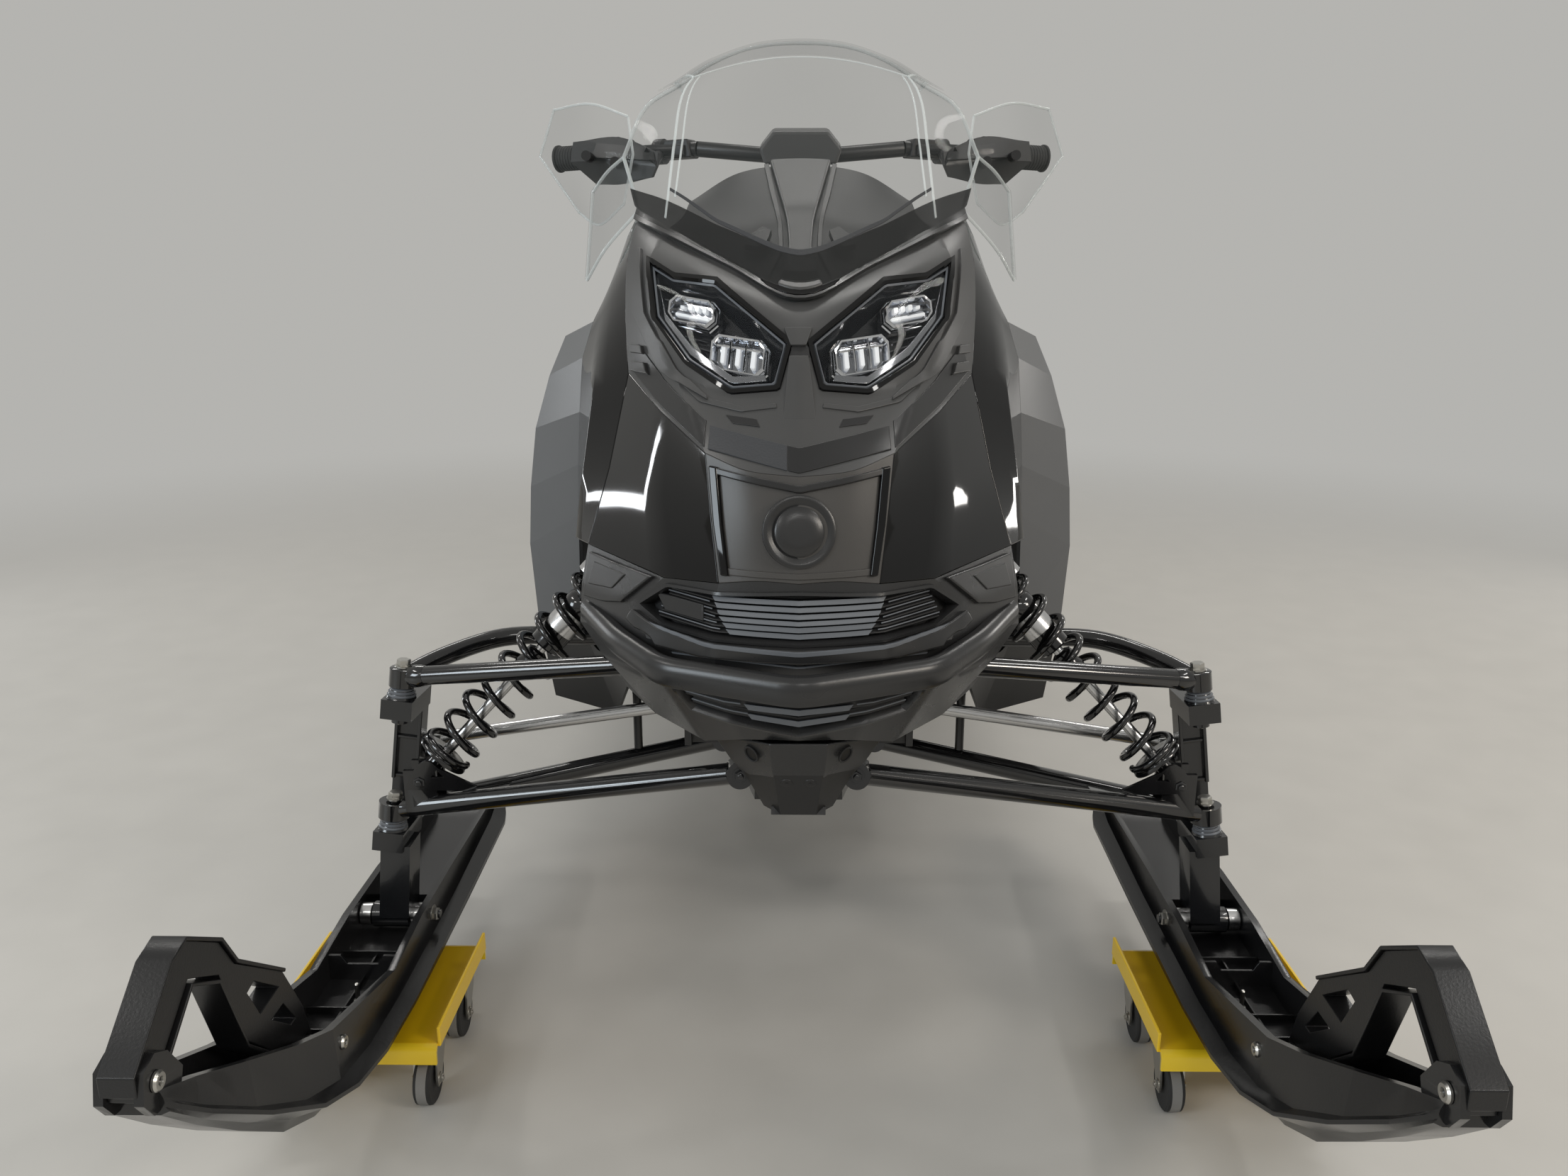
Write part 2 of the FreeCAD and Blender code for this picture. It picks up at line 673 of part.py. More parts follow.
def make_bodywork():
    make_cowl()
    make_fascia()
    badge = wall(BADGE, BODY_NORMALS, 0, s.panel_thick, whole=True)
    relief = wall(BADGE, BODY_NORMALS, -s.badge_relief, s.badge_relief + s.panel_thick / 2, whole=True)
    other_rail = [(-out, height) for out, height in reversed(BADGE_RAIL)]
    ribs = relief.common(fuse([front_prism(outline) for outline in (
        across(BADGE_LIP), across(BADGE_SILL), BADGE_RAIL, other_rail)]))
    disc = Part.makeCylinder(24, 12, place(0, -290, 657), Vector(0, 1, -0.25))
    node("badge_plate", fuse([badge, disc, ribs]))
    node("gloss_cheeks", both_sides([wall(CHEEK, BODY_NORMALS, 0, s.panel_thick)]))
    node("side_panels", both_sides([wall(SIDE_PANEL, BODY_NORMALS, 0, s.panel_thick)]))
    node("side_covers", both_sides([make_side_covers()]))
    node("belly_pan", both_sides([make_belly()]))
    node("console", wall(CONSOLE, BODY_NORMALS, 0, s.panel_thick, whole=True))
    cowl = wall(COWL, BODY_NORMALS, 0, s.panel_thick, whole=True)
    node("windshield", wall(SCREEN, GLASS_NORMALS, -s.screen_thick, s.screen_thick, whole=True).cut(cowl))
    node("side_deflectors", both_sides([wall(DEFLECTOR, GLASS_NORMALS, -s.screen_thick, s.screen_thick)]))


BUMPER = (
    # out, back, up of the bar's middle
    (243, -104, 531),
    (196, -198, 522),
    (140, -274, 514),
    (0, -334, 513),
)


def make_bumper():
    line = [place(*corner) for corner in BUMPER]
    line = line + [Vector(-p.x, p.y, p.z) for p in reversed(line[:-1])]
    sections = []
    for i, middle in enumerate(line):
        run = line[min(i + 1, len(line) - 1)] - line[max(i - 1, 0)]
        out = Vector(run.y, -run.x, 0).normalize()
        if out.y > 0:
            out = out * -1
        rise = Vector(0, 0, 1)
        profile = ((-9, -14), (3, -16), (9, -10), (9, 10), (3, 16), (-9, 14))
        sections.append([middle + out * a + rise * b for a, b in profile])
    fascia = wall(FASCIA, BODY_NORMALS, 0, s.panel_thick, whole=True)
    node("front_bumper", loft(sections).cut(fascia))


# Tunnel, boards, seats and rear

def make_tunnel():
    body = new_body("tunnel_body")
    half = s.tunnel_width / 2
    inner = half - s.sheet_thick
    top = up(s.tunnel_top)
    low = up(s.tunnel_low)
    outline = [(-half, low), (-inner, low), (-inner, top - s.sheet_thick), (inner, top - s.sheet_thick),
               (inner, low), (half, low), (half, top), (-half, top)]
    length = s.tunnel_rear - s.tunnel_front
    middle = s.bolt_y + (s.tunnel_rear + s.tunnel_front) / 2
    pad(body, "XZ", [outline], length, offset=-middle)
    wall = [(-inner, low), (inner, low), (inner, top - s.sheet_thick), (-inner, top - s.sheet_thick)]
    pad(body, "XZ", [wall], s.sheet_thick, offset=-(back(s.tunnel_front) + s.sheet_thick / 2))
    keep("tunnel", body)


def make_boards():
    body = new_body("board")
    rear = back(s.board_rear)
    front = back(s.board_front)
    low = up(s.board_up)
    outline = [(front - 44, low + 80), (front, low), (rear, low), (rear, low + s.board_thick),
               (front + 4, low + s.board_thick), (front - 40, low + 86)]
    inner = s.tunnel_width / 2
    width = s.board_half_width - inner
    pad(body, "YZ", [outline], width, offset=inner + width / 2)
    doc.recompute()
    pair("running_boards", body)


def make_seats():
    half = s.seat_width / 2
    base = s.tunnel_top
    driver = (
        # back, half width at the base, half width at the top, top
        (s.seat_front, half - 40, 62, s.seat_top + 8),
        (s.seat_front + 160, half - 14, 96, s.seat_top - 8),
        (s.seat_step - 80, half, 128, s.seat_top + 4),
        (s.seat_step, half, 124, s.seat_top + 26),
    )
    node("driver_seat", loft([seat_section(*row, base) for row in driver]))
    pillion = (
        (s.seat_step, half, 122, s.pillion_top - 6),
        (s.seat_step + 160, half, 126, s.pillion_top),
        (s.seat_rear, half - 10, 120, s.pillion_top + 6),
    )
    seat = loft([seat_section(*row, base) for row in pillion])
    rest = (
        (s.pillion_top + 30, s.seat_rear + 12, 110),
        (s.backrest_top - 60, s.seat_rear + 50, 128),
        (s.backrest_top, s.seat_rear + 62, 96),
    )
    sections = []
    for height, behind, half_width in rest:
        sections.append([place(-half_width, behind, height), place(half_width, behind, height),
                         place(half_width - 14, behind + s.backrest_thick, height),
                         place(14 - half_width, behind + s.backrest_thick, height)])
    rest_base = box(place(-60, s.seat_rear - 40, s.pillion_top - 30), place(60, s.seat_rear + 60, s.pillion_top + 30))
    node("passenger_seat", [fuse([seat, rest_base, loft(sections)])])


def seat_section(behind, base_half, top_half, top, base):
    shoulder = top - 46
    return [place(-base_half, behind, base), place(base_half, behind, base), place(base_half, behind, shoulder - 40),
            place(top_half + 22, behind, shoulder), place(top_half - 20, behind, top),
            place(20 - top_half, behind, top), place(-top_half - 22, behind, shoulder), place(-base_half, behind, shoulder - 40)]


TANK = (
    # back, base height, base half, side half, side height, top half, top height
    (245, 640, 150, 158, 790, 92, 905),
    (400, s.tunnel_top, 166, 172, 700, 84, 850),
    (s.seat_front, s.tunnel_top, 118, 150, 600, 62, 698),
)


def tank_solid():
    sections = []
    for behind, base, base_half, side_half, side, top_half, top in TANK:
        half = [(base_half, base), (side_half, side), (top_half, top)]
        ring = [place(out, behind, height) for out, height in half]
        ring += [place(-out, behind, height) for out, height in reversed(half)]
        sections.append(ring)
    return loft(sections)


def make_tank():
    foot, axis = steering_line()
    hole = Part.makeCylinder(s.column_radius + s.column_hole_gap, 900, foot - axis * 100, axis)
    notch = box(place(-36, TANK[0][0] - 10, s.column_foot_up - 60), place(36, 274, s.column_foot_up + 96))
    node("tank_cover", tank_solid().cut([hole, notch]))


def make_rear():
    rear = s.rack_rear
    half = s.tunnel_width / 2 - 30
    high = s.rack_up
    rails = []
    for side in (1, -1):
        rails.append(rod(place(side * half, 1860, high), place(side * half, rear - 60, high), s.rack_tube_radius))
        rails.append(rod(place(side * half, 1860, high), place(side * half, 1830, s.tunnel_top), s.rack_tube_radius))
        rails.append(rod(place(side * half, rear - 60, high), place(side * (half - 60), rear - 12, high - 20), s.rack_tube_radius))
        rails.append(rod(place(side * (half - 10), s.tunnel_rear - 30, s.tunnel_top), place(side * half, rear - 60, high), s.rack_tube_radius))
    rails.append(rod(place(half - 60, rear - 12, high - 20), place(60 - half, rear - 12, high - 20), s.rack_tube_radius))
    for behind in (1960, 2120, 2280):
        rails.append(rod(place(-half, behind, high), place(half, behind, high), s.rack_tube_radius - 3))
    deck = box(place(-half - 60, s.tunnel_front, s.tunnel_low), place(half + 60, s.tunnel_rear, s.tunnel_top))
    node("rear_rack", fuse(rails).cut(deck))
    flap = new_body("flap")
    start = back(s.tunnel_rear)
    top = up(s.tunnel_top)
    drop = s.flap_length
    outline = [(start, top), (start + 5, top), (start + 5 + drop * 0.38, top - drop * 0.92),
               (start + drop * 0.38, top - drop * 0.92)]
    pad(flap, "YZ", [outline], s.tunnel_width)
    keep("snow_flap", flap)
    lamp = new_body("lamp")
    lamp_top = s.pillion_top - s.lamp_drop
    lamp_low = lamp_top - s.lamp_height
    lamp_half = s.seat_width / 2 - 70
    outline = [(-lamp_half, up(lamp_low)), (lamp_half, up(lamp_low)),
               (lamp_half - 10, up(lamp_top)), (10 - lamp_half, up(lamp_top))]
    pad(lamp, "XZ", [outline], 26, offset=-(back(s.seat_rear) + 13))
    keep("tail_lamp", lamp)


# Track, rails, arms and wheels

def belt_circles():
    """Centre (back, up) and radius of the belt's middle line at each bend."""
    base = s.lug_height + s.belt_thick / 2
    return ((float(s.drive_back), float(s.drive_up), float(s.drive_radius)),
            (float(s.rail_front), float(base + s.rail_bend_radius), float(s.rail_bend_radius)),
            (float(s.idler_back), float(base + s.idler_radius), float(s.idler_radius)))


def belt_path():
    """Pieces of the belt's middle line, run from the drive wheels down to the snow and back."""
    circles = belt_circles()
    pieces = []
    ends = []
    for i in range(3):
        (ay, az, ar), (by, bz, br) = circles[i], circles[(i + 1) % 3]
        run = math.hypot(by - ay, bz - az)
        slope = math.atan2(bz - az, by - ay)
        turn = math.asin((br - ar) / run)
        normal = slope - math.pi / 2 - turn
        ends.append((normal, (ay + ar * math.cos(normal), az + ar * math.sin(normal)),
                     (by + br * math.cos(normal), bz + br * math.sin(normal))))
    for i in range(3):
        normal, start, end = ends[i]
        pieces.append(("line", start, end, normal))
        after = ends[(i + 1) % 3][0]
        sweep = (after - normal) % (2 * math.pi)
        pieces.append(("arc", circles[(i + 1) % 3], normal, sweep))
    return pieces


def belt_length(pieces):
    total = 0
    for piece in pieces:
        if piece[0] == "line":
            total += math.dist(piece[1], piece[2])
        else:
            total += piece[1][2] * piece[3]
    return total


def belt_point(pieces, distance, outward):
    """Place at a distance along the belt, moved outward from its middle line."""
    left = distance % belt_length(pieces)
    for piece in pieces:
        if piece[0] == "line":
            length = math.dist(piece[1], piece[2])
            if left <= length:
                share = left / length
                y = piece[1][0] + (piece[2][0] - piece[1][0]) * share
                z = piece[1][1] + (piece[2][1] - piece[1][1]) * share
                return y + outward * math.cos(piece[3]), z + outward * math.sin(piece[3])
        else:
            (cy, cz, radius), start, sweep = piece[1:]
            length = radius * sweep
            if left <= length:
                angle = start + left / radius
                return cy + (radius + outward) * math.cos(angle), cz + (radius + outward) * math.sin(angle)
        left -= length
    return belt_point(pieces, 0, outward)


LUG_ROWS = (
    # inner out, outer out, share of a pitch that the row is moved along
    (-1.0, -0.34, 0.5),
    (-0.34, 0.34, 0.0),
    (0.34, 1.0, 0.5),
)


def make_track():
    pieces = belt_path()
    count = int(s.lug_count)
    pitch = belt_length(pieces) / count
    skin = s.belt_thick / 2
    half = s.track_width / 2
    strips = []
    for inner, outer, phase in LUG_ROWS:
        outside = []
        for i in range(count):
            start = (i + phase) * pitch
            for share, reach in ((0.36, 0), (0.42, s.lug_height), (0.54, s.lug_height), (0.60, 0), (0.8, 0), (1.0, 0), (1.18, 0)):
                outside.append(belt_point(pieces, start + share * pitch, skin + reach))
        inside = [belt_point(pieces, i * pitch / 3, -skin) for i in range(3 * count)]
        face = Part.Face(polygon_wire([place(inner * half, y, z) for y, z in outside]))
        face = face.cut(Part.Face(polygon_wire([place(inner * half, y, z) for y, z in inside])))
        strips.append(face.extrude(Vector((outer - inner) * half, 0, 0)))
    whole = strips[0].fuse(strips[1:])
    node("track", whole)


def make_rails():
    body = new_body("rail")
    base = s.lug_height + s.belt_thick
    low = up(base)
    high = low + s.rail_height
    rear = back(s.idler_back)
    front = back(s.rail_front)
    axle_low = up(s.lug_height + s.belt_thick / 2 + s.idler_radius - s.axle_radius)
    outline = [(front - 96, low + 66), (front - 60, low + 32), (front + 40, low), (rear - 10, low),
               (rear + 30, low + 20), (rear + 30, axle_low), (rear - 60, axle_low - 6), (rear - 120, high),
               (front + 20, high), (front - 70, high + 40), (front - 104, high + 40)]
    pad(body, "YZ", [outline], s.rail_width, offset=s.rail_out)
    doc.recompute()
    pair("slide_rails", body)


BOGIES = (1150, 1420, 1700)
WHEEL_ROOM = 1.2


def wheel(out, behind, height, radius, width):
    start = place(out - width / 2, behind, height)
    return Part.makeCylinder(radius, width, start, Vector(1, 0, 0))


def make_wheels():
    """Bogie wheels on the rails, rear idlers, carriers under the upper run and drive wheels."""
    base = s.lug_height + s.belt_thick
    face = s.rail_out + s.rail_width / 2
    solids = []
    for behind in BOGIES:
        for side in (1, -1):
            height = base + s.bogie_radius
            disc = wheel(side * (face + s.bogie_width / 2 + 6), behind, height, s.bogie_radius, s.bogie_width)
            solids.append(disc.fuse(wheel(side * (face + 3), behind, height, s.axle_radius, 6)))
    inside = s.tunnel_width - 2 * s.sheet_thick
    idler_up = base - s.belt_thick / 2 + s.idler_radius
    rows = (
        # back, up, radius, width, axle length, places across
        (s.idler_back, idler_up, s.idler_radius - s.belt_thick / 2 - WHEEL_ROOM, s.bogie_width,
         s.track_width - 40, [s.track_width * share for share in (-0.39, -0.13, 0.13, 0.39)]),
        (s.drive_back, s.drive_up, s.drive_radius - s.belt_thick / 2 - WHEEL_ROOM, 20, inside, (-90, 90)),
        (s.carrier_back, s.carrier_up, s.carrier_radius, s.bogie_width, inside,
         (-s.carrier_out, s.carrier_out)),
    )
    for behind, height, radius, width, axle, places in rows:
        discs = [wheel(out, behind, height, radius, width) for out in places]
        solids.append(fuse([wheel(0, behind, height, s.axle_radius, axle)] + discs))
    node("track_wheels", solids)


def make_skid_arms():
    """Two pairs of swing arms and the front shock, between the tunnel and the rails."""
    low = s.lug_height + s.belt_thick + s.rail_height - 22
    inner = s.rail_out - s.rail_width / 2
    wide = s.tunnel_width / 2 - s.sheet_thick
    tube = 12
    front_up = 318
    shapes = [rod(place(-wide, 800, front_up), place(wide, 800, front_up), tube)]
    collars = [collar(place(side * 60, s.carrier_back, s.carrier_up), Vector(1, 0, 0), 20, 0, 24)
               for side in (1, -1)]
    for top_back, top_up, foot_back in ((800, front_up, 1060), (s.carrier_back, s.carrier_up, 1620)):
        for side in (1, -1):
            shapes.append(rod(place(side * 60, top_back, top_up), place(side * 60, foot_back, low), tube))
        shapes.append(rod(place(-inner, foot_back, low), place(inner, foot_back, low), tube))
    bore = wheel(0, s.carrier_back, s.carrier_up, s.axle_radius + FACE_GAP, s.tunnel_width)
    shock = [rod(place(0, 830, front_up - 6), place(0, 1200, low + 10), 22),
             rod(place(-inner, 1200, low + 10), place(inner, 1200, low + 10), 9)]
    node("skid_arms", [fuse(shapes + collars + shock).cut(bore)])


# Front suspension

BUSHING_LENGTH = 44
SWAY_BACK, SWAY_UP, SWAY_RADIUS = 262, 350, 8


def arm_points(kind):
    if kind == "lower":
        joint = place(s.joint_out, s.joint_back, s.joint_up)
        front = place(s.lower_front_pivot_out, s.lower_front_pivot_back, s.lower_front_pivot_up)
        rear = place(s.lower_rear_pivot_out, s.lower_rear_pivot_back, s.lower_rear_pivot_up)
    else:
        joint = place(s.joint_out - s.kingpin_in, s.joint_back + s.kingpin_back, s.joint_up + s.kingpin_rise)
        front = place(s.upper_front_pivot_out, s.upper_front_pivot_back, s.upper_front_pivot_up)
        rear = place(s.upper_rear_pivot_out, s.upper_rear_pivot_back, s.upper_rear_pivot_up)
    return joint, front, rear


def kingpin_axis():
    return Vector(-s.kingpin_in, s.kingpin_back, s.kingpin_rise).normalize()


def upper_tubes():
    """Ends of the upper arm's tubes; the rear one is bent round the shock."""
    joint, front, rear = arm_points("upper")
    knee = place(s.upper_knee_out, s.upper_knee_back, s.upper_knee_up)
    return ((joint, front), (joint, knee), (knee, rear))


def make_arm(kind, radius):
    joint, front, rear = arm_points(kind)
    axis = kingpin_axis()
    shapes = [collar(joint, axis, s.joint_ring_radius, 0, s.joint_ring_height)]
    tubes = ((joint, front), (joint, rear)) if kind == "lower" else upper_tubes()
    shapes += [rod(start, end, radius) for start, end in tubes]
    if kind == "upper":
        shapes.append(Part.makeSphere(radius, tubes[1][1]))
    shapes += [collar(pivot, rear - front, s.bushing_radius, 0, BUSHING_LENGTH) for pivot in (front, rear)]
    if kind == "lower":
        foot = place(s.shock_foot_out, s.shock_foot_back, s.shock_foot_up)
        for side in (-17, 17):
            shapes.append(box(foot + Vector(-20, side - 3, -44), foot + Vector(22, side + 3, 14)))
        shapes.append(prism([joint + (front - joint) * 0.06, joint + (front - joint) * 0.34,
                             joint + (rear - joint) * 0.34, joint + (rear - joint) * 0.06], Vector(0, 0, 4)))
    solid = fuse(shapes)
    bore = collar(joint, axis, s.stud_radius + s.running_gap, 0, s.joint_ring_height + 40)
    faced = (s.joint_ring_height + radius) / 2
    trims = [collar(joint + axis * (side * faced), axis, s.joint_ring_radius - 2, 0, radius) for side in (-1, 1)]
    return solid.cut([bore] + trims)


def make_front_suspension():
    node("lower_arms", both_sides([make_arm("lower", s.lower_tube_radius)]))
    node("upper_arms", both_sides([make_arm("upper", s.upper_tube_radius)]))
    foot = place(s.shock_foot_out, s.shock_foot_back, s.shock_foot_up)
    head = place(s.shock_head_out, s.shock_head_back, s.shock_head_up)
    run = head - foot
    length = run.Length
    unit = Vector(run).normalize()
    seat_low = foot + unit * 36
    seat_high = foot + unit * (length * 0.78)
    lip = s.spring_radius + s.spring_wire
    pieces = [collar(foot, Vector(0, 1, 0), 14, 0, 28), collar(head, Vector(0, 1, 0), 17, 0, 32),
              rod(foot, foot + unit * (length * 0.6), s.shock_shaft_radius),
              rod(foot + unit * (length * 0.52), head - unit * 36, s.shock_body_radius),
              rod(head - unit * 38, head, 10),
              collar(seat_low, unit, lip, 0, 6), collar(seat_high, unit, lip, 0, 12),
              collar(foot + unit * (length * 0.46), unit, 15, 0, 34)]
    node("shock_absorbers", both_sides([fuse(pieces)]))
    node("shock_springs", both_sides([coil(seat_low + unit * 3.2, seat_high - unit * 6.2)]))
    lower_joint, _, lower_rear = arm_points("lower")
    share = (lower_joint.x - s.sway_link_out) / (lower_joint.x - lower_rear.x)
    tube = lower_joint + (lower_rear - lower_joint) * share
    slope = (lower_rear.z - lower_joint.z) / math.dist(lower_joint[:2], lower_rear[:2])
    link_low = tube + Vector(0, 0, s.lower_tube_radius / math.cos(slope) + 6 * slope + FACE_GAP)
    link_top = Vector(tube.x, tube.y, up(SWAY_UP))
    corner = place(s.sway_link_out, SWAY_BACK, SWAY_UP)
    blade = box(Vector(corner.x - 5, link_top.y - 9, corner.z - 7), Vector(corner.x + 5, corner.y + 11, corner.z + 7))
    end = corner + Vector(9, 0, 0)
    cross_bar = rod(Vector(-end.x, end.y, end.z), end, SWAY_RADIUS)
    node("sway_bar", fuse([cross_bar] + both_sides([blade, rod(link_low, link_top, 6)])))


def coil(start, end):
    """Spring between two seats: a ring of six corners carried round a helix."""
    axis = end - start
    length = axis.Length - 2 * s.spring_wire
    unit = Vector(axis).normalize()
    side = unit.cross(Vector(0, 1, 0)).normalize()
    other = unit.cross(side)
    steps = int(s.spring_turns * 10)
    base = start + unit * s.spring_wire
    turns = float(s.spring_turns)
    rings = []
    for i in range(steps + 1):
        angle = 2 * math.pi * turns * i / steps
        radial = side * math.cos(angle) + other * math.sin(angle)
        centre = base + unit * (length * i / steps) + radial * s.spring_radius
        rings.append([centre + radial * (s.spring_wire * math.cos(k * math.pi / 3))
                      + unit * (s.spring_wire * math.sin(k * math.pi / 3)) for k in range(6)])
    faces = [Part.Face(polygon_wire(rings[0])), Part.Face(polygon_wire(rings[-1]))]
    for a, b in zip(rings, rings[1:]):
        for k in range(6):
            m = (k + 1) % 6
            faces.append(Part.Face(polygon_wire([a[k], a[m], b[m]])))
            faces.append(Part.Face(polygon_wire([a[k], b[m], b[k]])))
    return closed_solid(faces)


# Skis, spindles and ski dollies

SKI = (
    # back, sole edge up, keel up, half width, wall half width, wall top up
    (385, 72, 66, 54, 44, 84),
    (330, 60, 44, 70, 48, 74),
    (305, 56, 30, 74, 49, 88),
    (90, 48, 0, 75, 52, 97),
    (-40, 44, 0, 75, 52, 97),
    (-150, 42, 0, 75, 52, 86),
    (-250, 46, 2, 74, 51, 112),
    (-330, 62, 24, 72, 50, 132),
    (-400, 92, 62, 67, 45, 164),
    (-480, 148, 130, 54, 37, 206),
    (-545, 202, 190, 36, 27, 240),
    (-592, 246, 238, 25, 21.4, 262),
)


LOOP_PINS = (
    # back, up, reach each side
    (-592, 271, 23),
    (-312, 104, 54),
)


def ski_middle():
    return s.ski_stance / 2


def make_ski():
    centre = ski_middle()
    sections = []
    for behind, edge, keel, half, wall, top in SKI:
        deck = edge + s.sole_thick
        inner = wall - s.ski_wall
        ring = [(-half, edge), (-28, max(keel, 0) + (edge - keel) * 0.5), (-20, keel), (20, keel),
                (28, keel + (edge - keel) * 0.5), (half, edge), (half, edge + 5),
                (wall + 3, deck), (wall, top), (inner, top), (inner, deck),
                (-inner, deck), (-inner, top), (-wall, top), (-wall - 3, deck), (-half, edge + 5)]
        sections.append([place(centre + across_ski, behind, height) for across_ski, height in ring])
    hull = loft(sections)
    ears = []
    for side in (1, -1):
        profile = ((-560, 236), (-600, 244), (-612, 262), (-606, 288), (-588, 294), (-570, 284), (-552, 256))
        inner_x = centre + side * (s.loop_width / 2 + s.running_gap)
        ears.append(prism([place(inner_x, behind, height) for behind, height in profile],
                          Vector(side * (s.ski_wall - 1), 0, 0)))
    pins = [rod(place(centre - reach, behind, height), place(centre + reach, behind, height), s.loop_pin_radius)
            for behind, height, reach in LOOP_PINS]
    hull = hull.fuse(ears + pins)
    bolt = rod(place(centre - 90, 0, s.ski_bolt_up), place(centre + 90, 0, s.ski_bolt_up), s.ski_bolt_radius)
    return hull.cut(bolt)


def make_loop():
    """Grab loop with two windows in its rear leg, held by a pin at the tip and one between the walls."""
    body = new_body("loop")
    outer = ((-606, 260), (-608, 284), (-536, 342), (-510, 349), (-456, 314), (-434, 278), (-345, 212),
             (-310, 148), (-292, 88), (-332, 88), (-384, 128), (-390, 152), (-430, 190), (-463, 284),
             (-512, 312), (-572, 266))
    high_window = ((-418, 235), (-403, 238), (-357, 201), (-399, 199))
    low_window = ((-379, 178), (-352, 178), (-330, 146), (-341, 146))
    outlines = [[(back(behind), up(height)) for behind, height in ring]
                for ring in (outer, high_window, low_window)]
    reach = (s.loop_pin_radius + FACE_GAP) / math.cos(math.pi / 12)
    for behind, height, _ in LOOP_PINS:
        outlines.append([(back(behind) + reach * math.cos(i * math.pi / 6),
                          up(height) + reach * math.sin(i * math.pi / 6)) for i in range(12)])
    pad(body, "YZ", outlines, s.loop_width, offset=s.ski_stance / 2)
    return body


def make_spindle():
    joint, _, _ = arm_points("lower")
    rise = math.sqrt(s.kingpin_in ** 2 + s.kingpin_back ** 2 + s.kingpin_rise ** 2)
    ring_half = s.joint_ring_height / 2
    gap = s.running_gap
    axis = kingpin_axis()
    frame = Placement(joint, Rotation(Vector(0, 0, 1), axis))
    low_boss = -ring_half - 16 - s.boss_height
    high_boss = rise - ring_half - 16 - s.boss_height
    local = []
    for base in (low_boss, high_boss):
        local.append(box(Vector(-20, -20, base), Vector(20, 62, base + s.boss_height)))
        local.append(Part.makeCone(19, 13, 16 - gap, Vector(0, 0, base + s.boss_height)))
        local.append(Part.makeCylinder(s.stud_radius, 16 + s.joint_ring_height + 4, Vector(0, 0, base + s.boss_height)))
        local.append(Part.makeCylinder(11, 8, Vector(0, 0, base - 8)))
    half = s.upright_width / 2
    local.append(box(Vector(-half, 62 - s.upright_depth, low_boss), Vector(half, 62, high_boss + s.boss_height)))
    solid = fuse(local)
    solid.Placement = frame
    eye = place(s.steer_eye_out, s.steer_eye_back, s.steer_eye_up)
    root = frame.multVec(Vector(0, 52, eye.z - joint.z))
    arm = rod(root, eye, 9)
    eye_ring = collar(eye, axis, 13, 0, 14)
    bolt_middle = place(ski_middle(), 0, s.ski_bolt_up)
    half_leg = s.leg_width / 2
    half_deep = s.leg_depth / 2
    leg_top = joint.z + low_boss + 6
    leg = loft([[Vector(joint.x - 3 + a * half_leg, joint.y + 4 + b * half_deep, leg_top) for a, b in ((-1, -1), (1, -1), (1, 1), (-1, 1))],
                [Vector(bolt_middle.x - 8 + a * half_leg, bolt_middle.y + b * half_deep, bolt_middle.z + 6) for a, b in ((-1, -1), (1, -1), (1, 1), (-1, 1))]])
    along = Vector(1, 0, 0)
    wall_inner = 52 - s.ski_wall
    pivot = [collar(bolt_middle, along, s.saddle_radius, 0, s.saddle_width),
             collar(bolt_middle, along, 11, 0, 2 * (wall_inner - gap)),
             collar(bolt_middle, along, s.ski_bolt_radius - 0.2, 0, s.ski_bolt_length)]
    eye_bore = collar(eye, axis, 5 + gap, 0, 60)
    return fuse([solid, arm, eye_ring, leg] + pivot).cut(eye_bore)


def make_tie_rod():
    eye = place(s.steer_eye_out, s.steer_eye_back, s.steer_eye_up)
    axis = kingpin_axis()
    lift = eye + axis * 18
    inner = place(s.tie_rod_inner_out, s.steer_eye_back, s.tie_rod_inner_up)
    return fuse([rod(lift, inner, s.tie_rod_radius), collar(lift, axis, 12, 0, 17), collar(eye, axis, 5, 0, 36)])


def make_tray(width, length, centre_x, behind, lip):
    """Channel of folded sheet: a floor at the machine's height with a raised edge on each side."""
    body = new_body("tray" + str(len(nodes)))
    half = width / 2
    top = s.dolly_height
    t = s.tray_thick
    outline = [(centre_x - half, top - t), (centre_x + half, top - t), (centre_x + half, top + lip),
               (centre_x + half - t, top + lip), (centre_x + half - t, top), (centre_x - half + t, top),
               (centre_x - half + t, top + lip), (centre_x - half, top + lip)]
    pad(body, "XZ", [outline], length, offset=-behind)
    return body


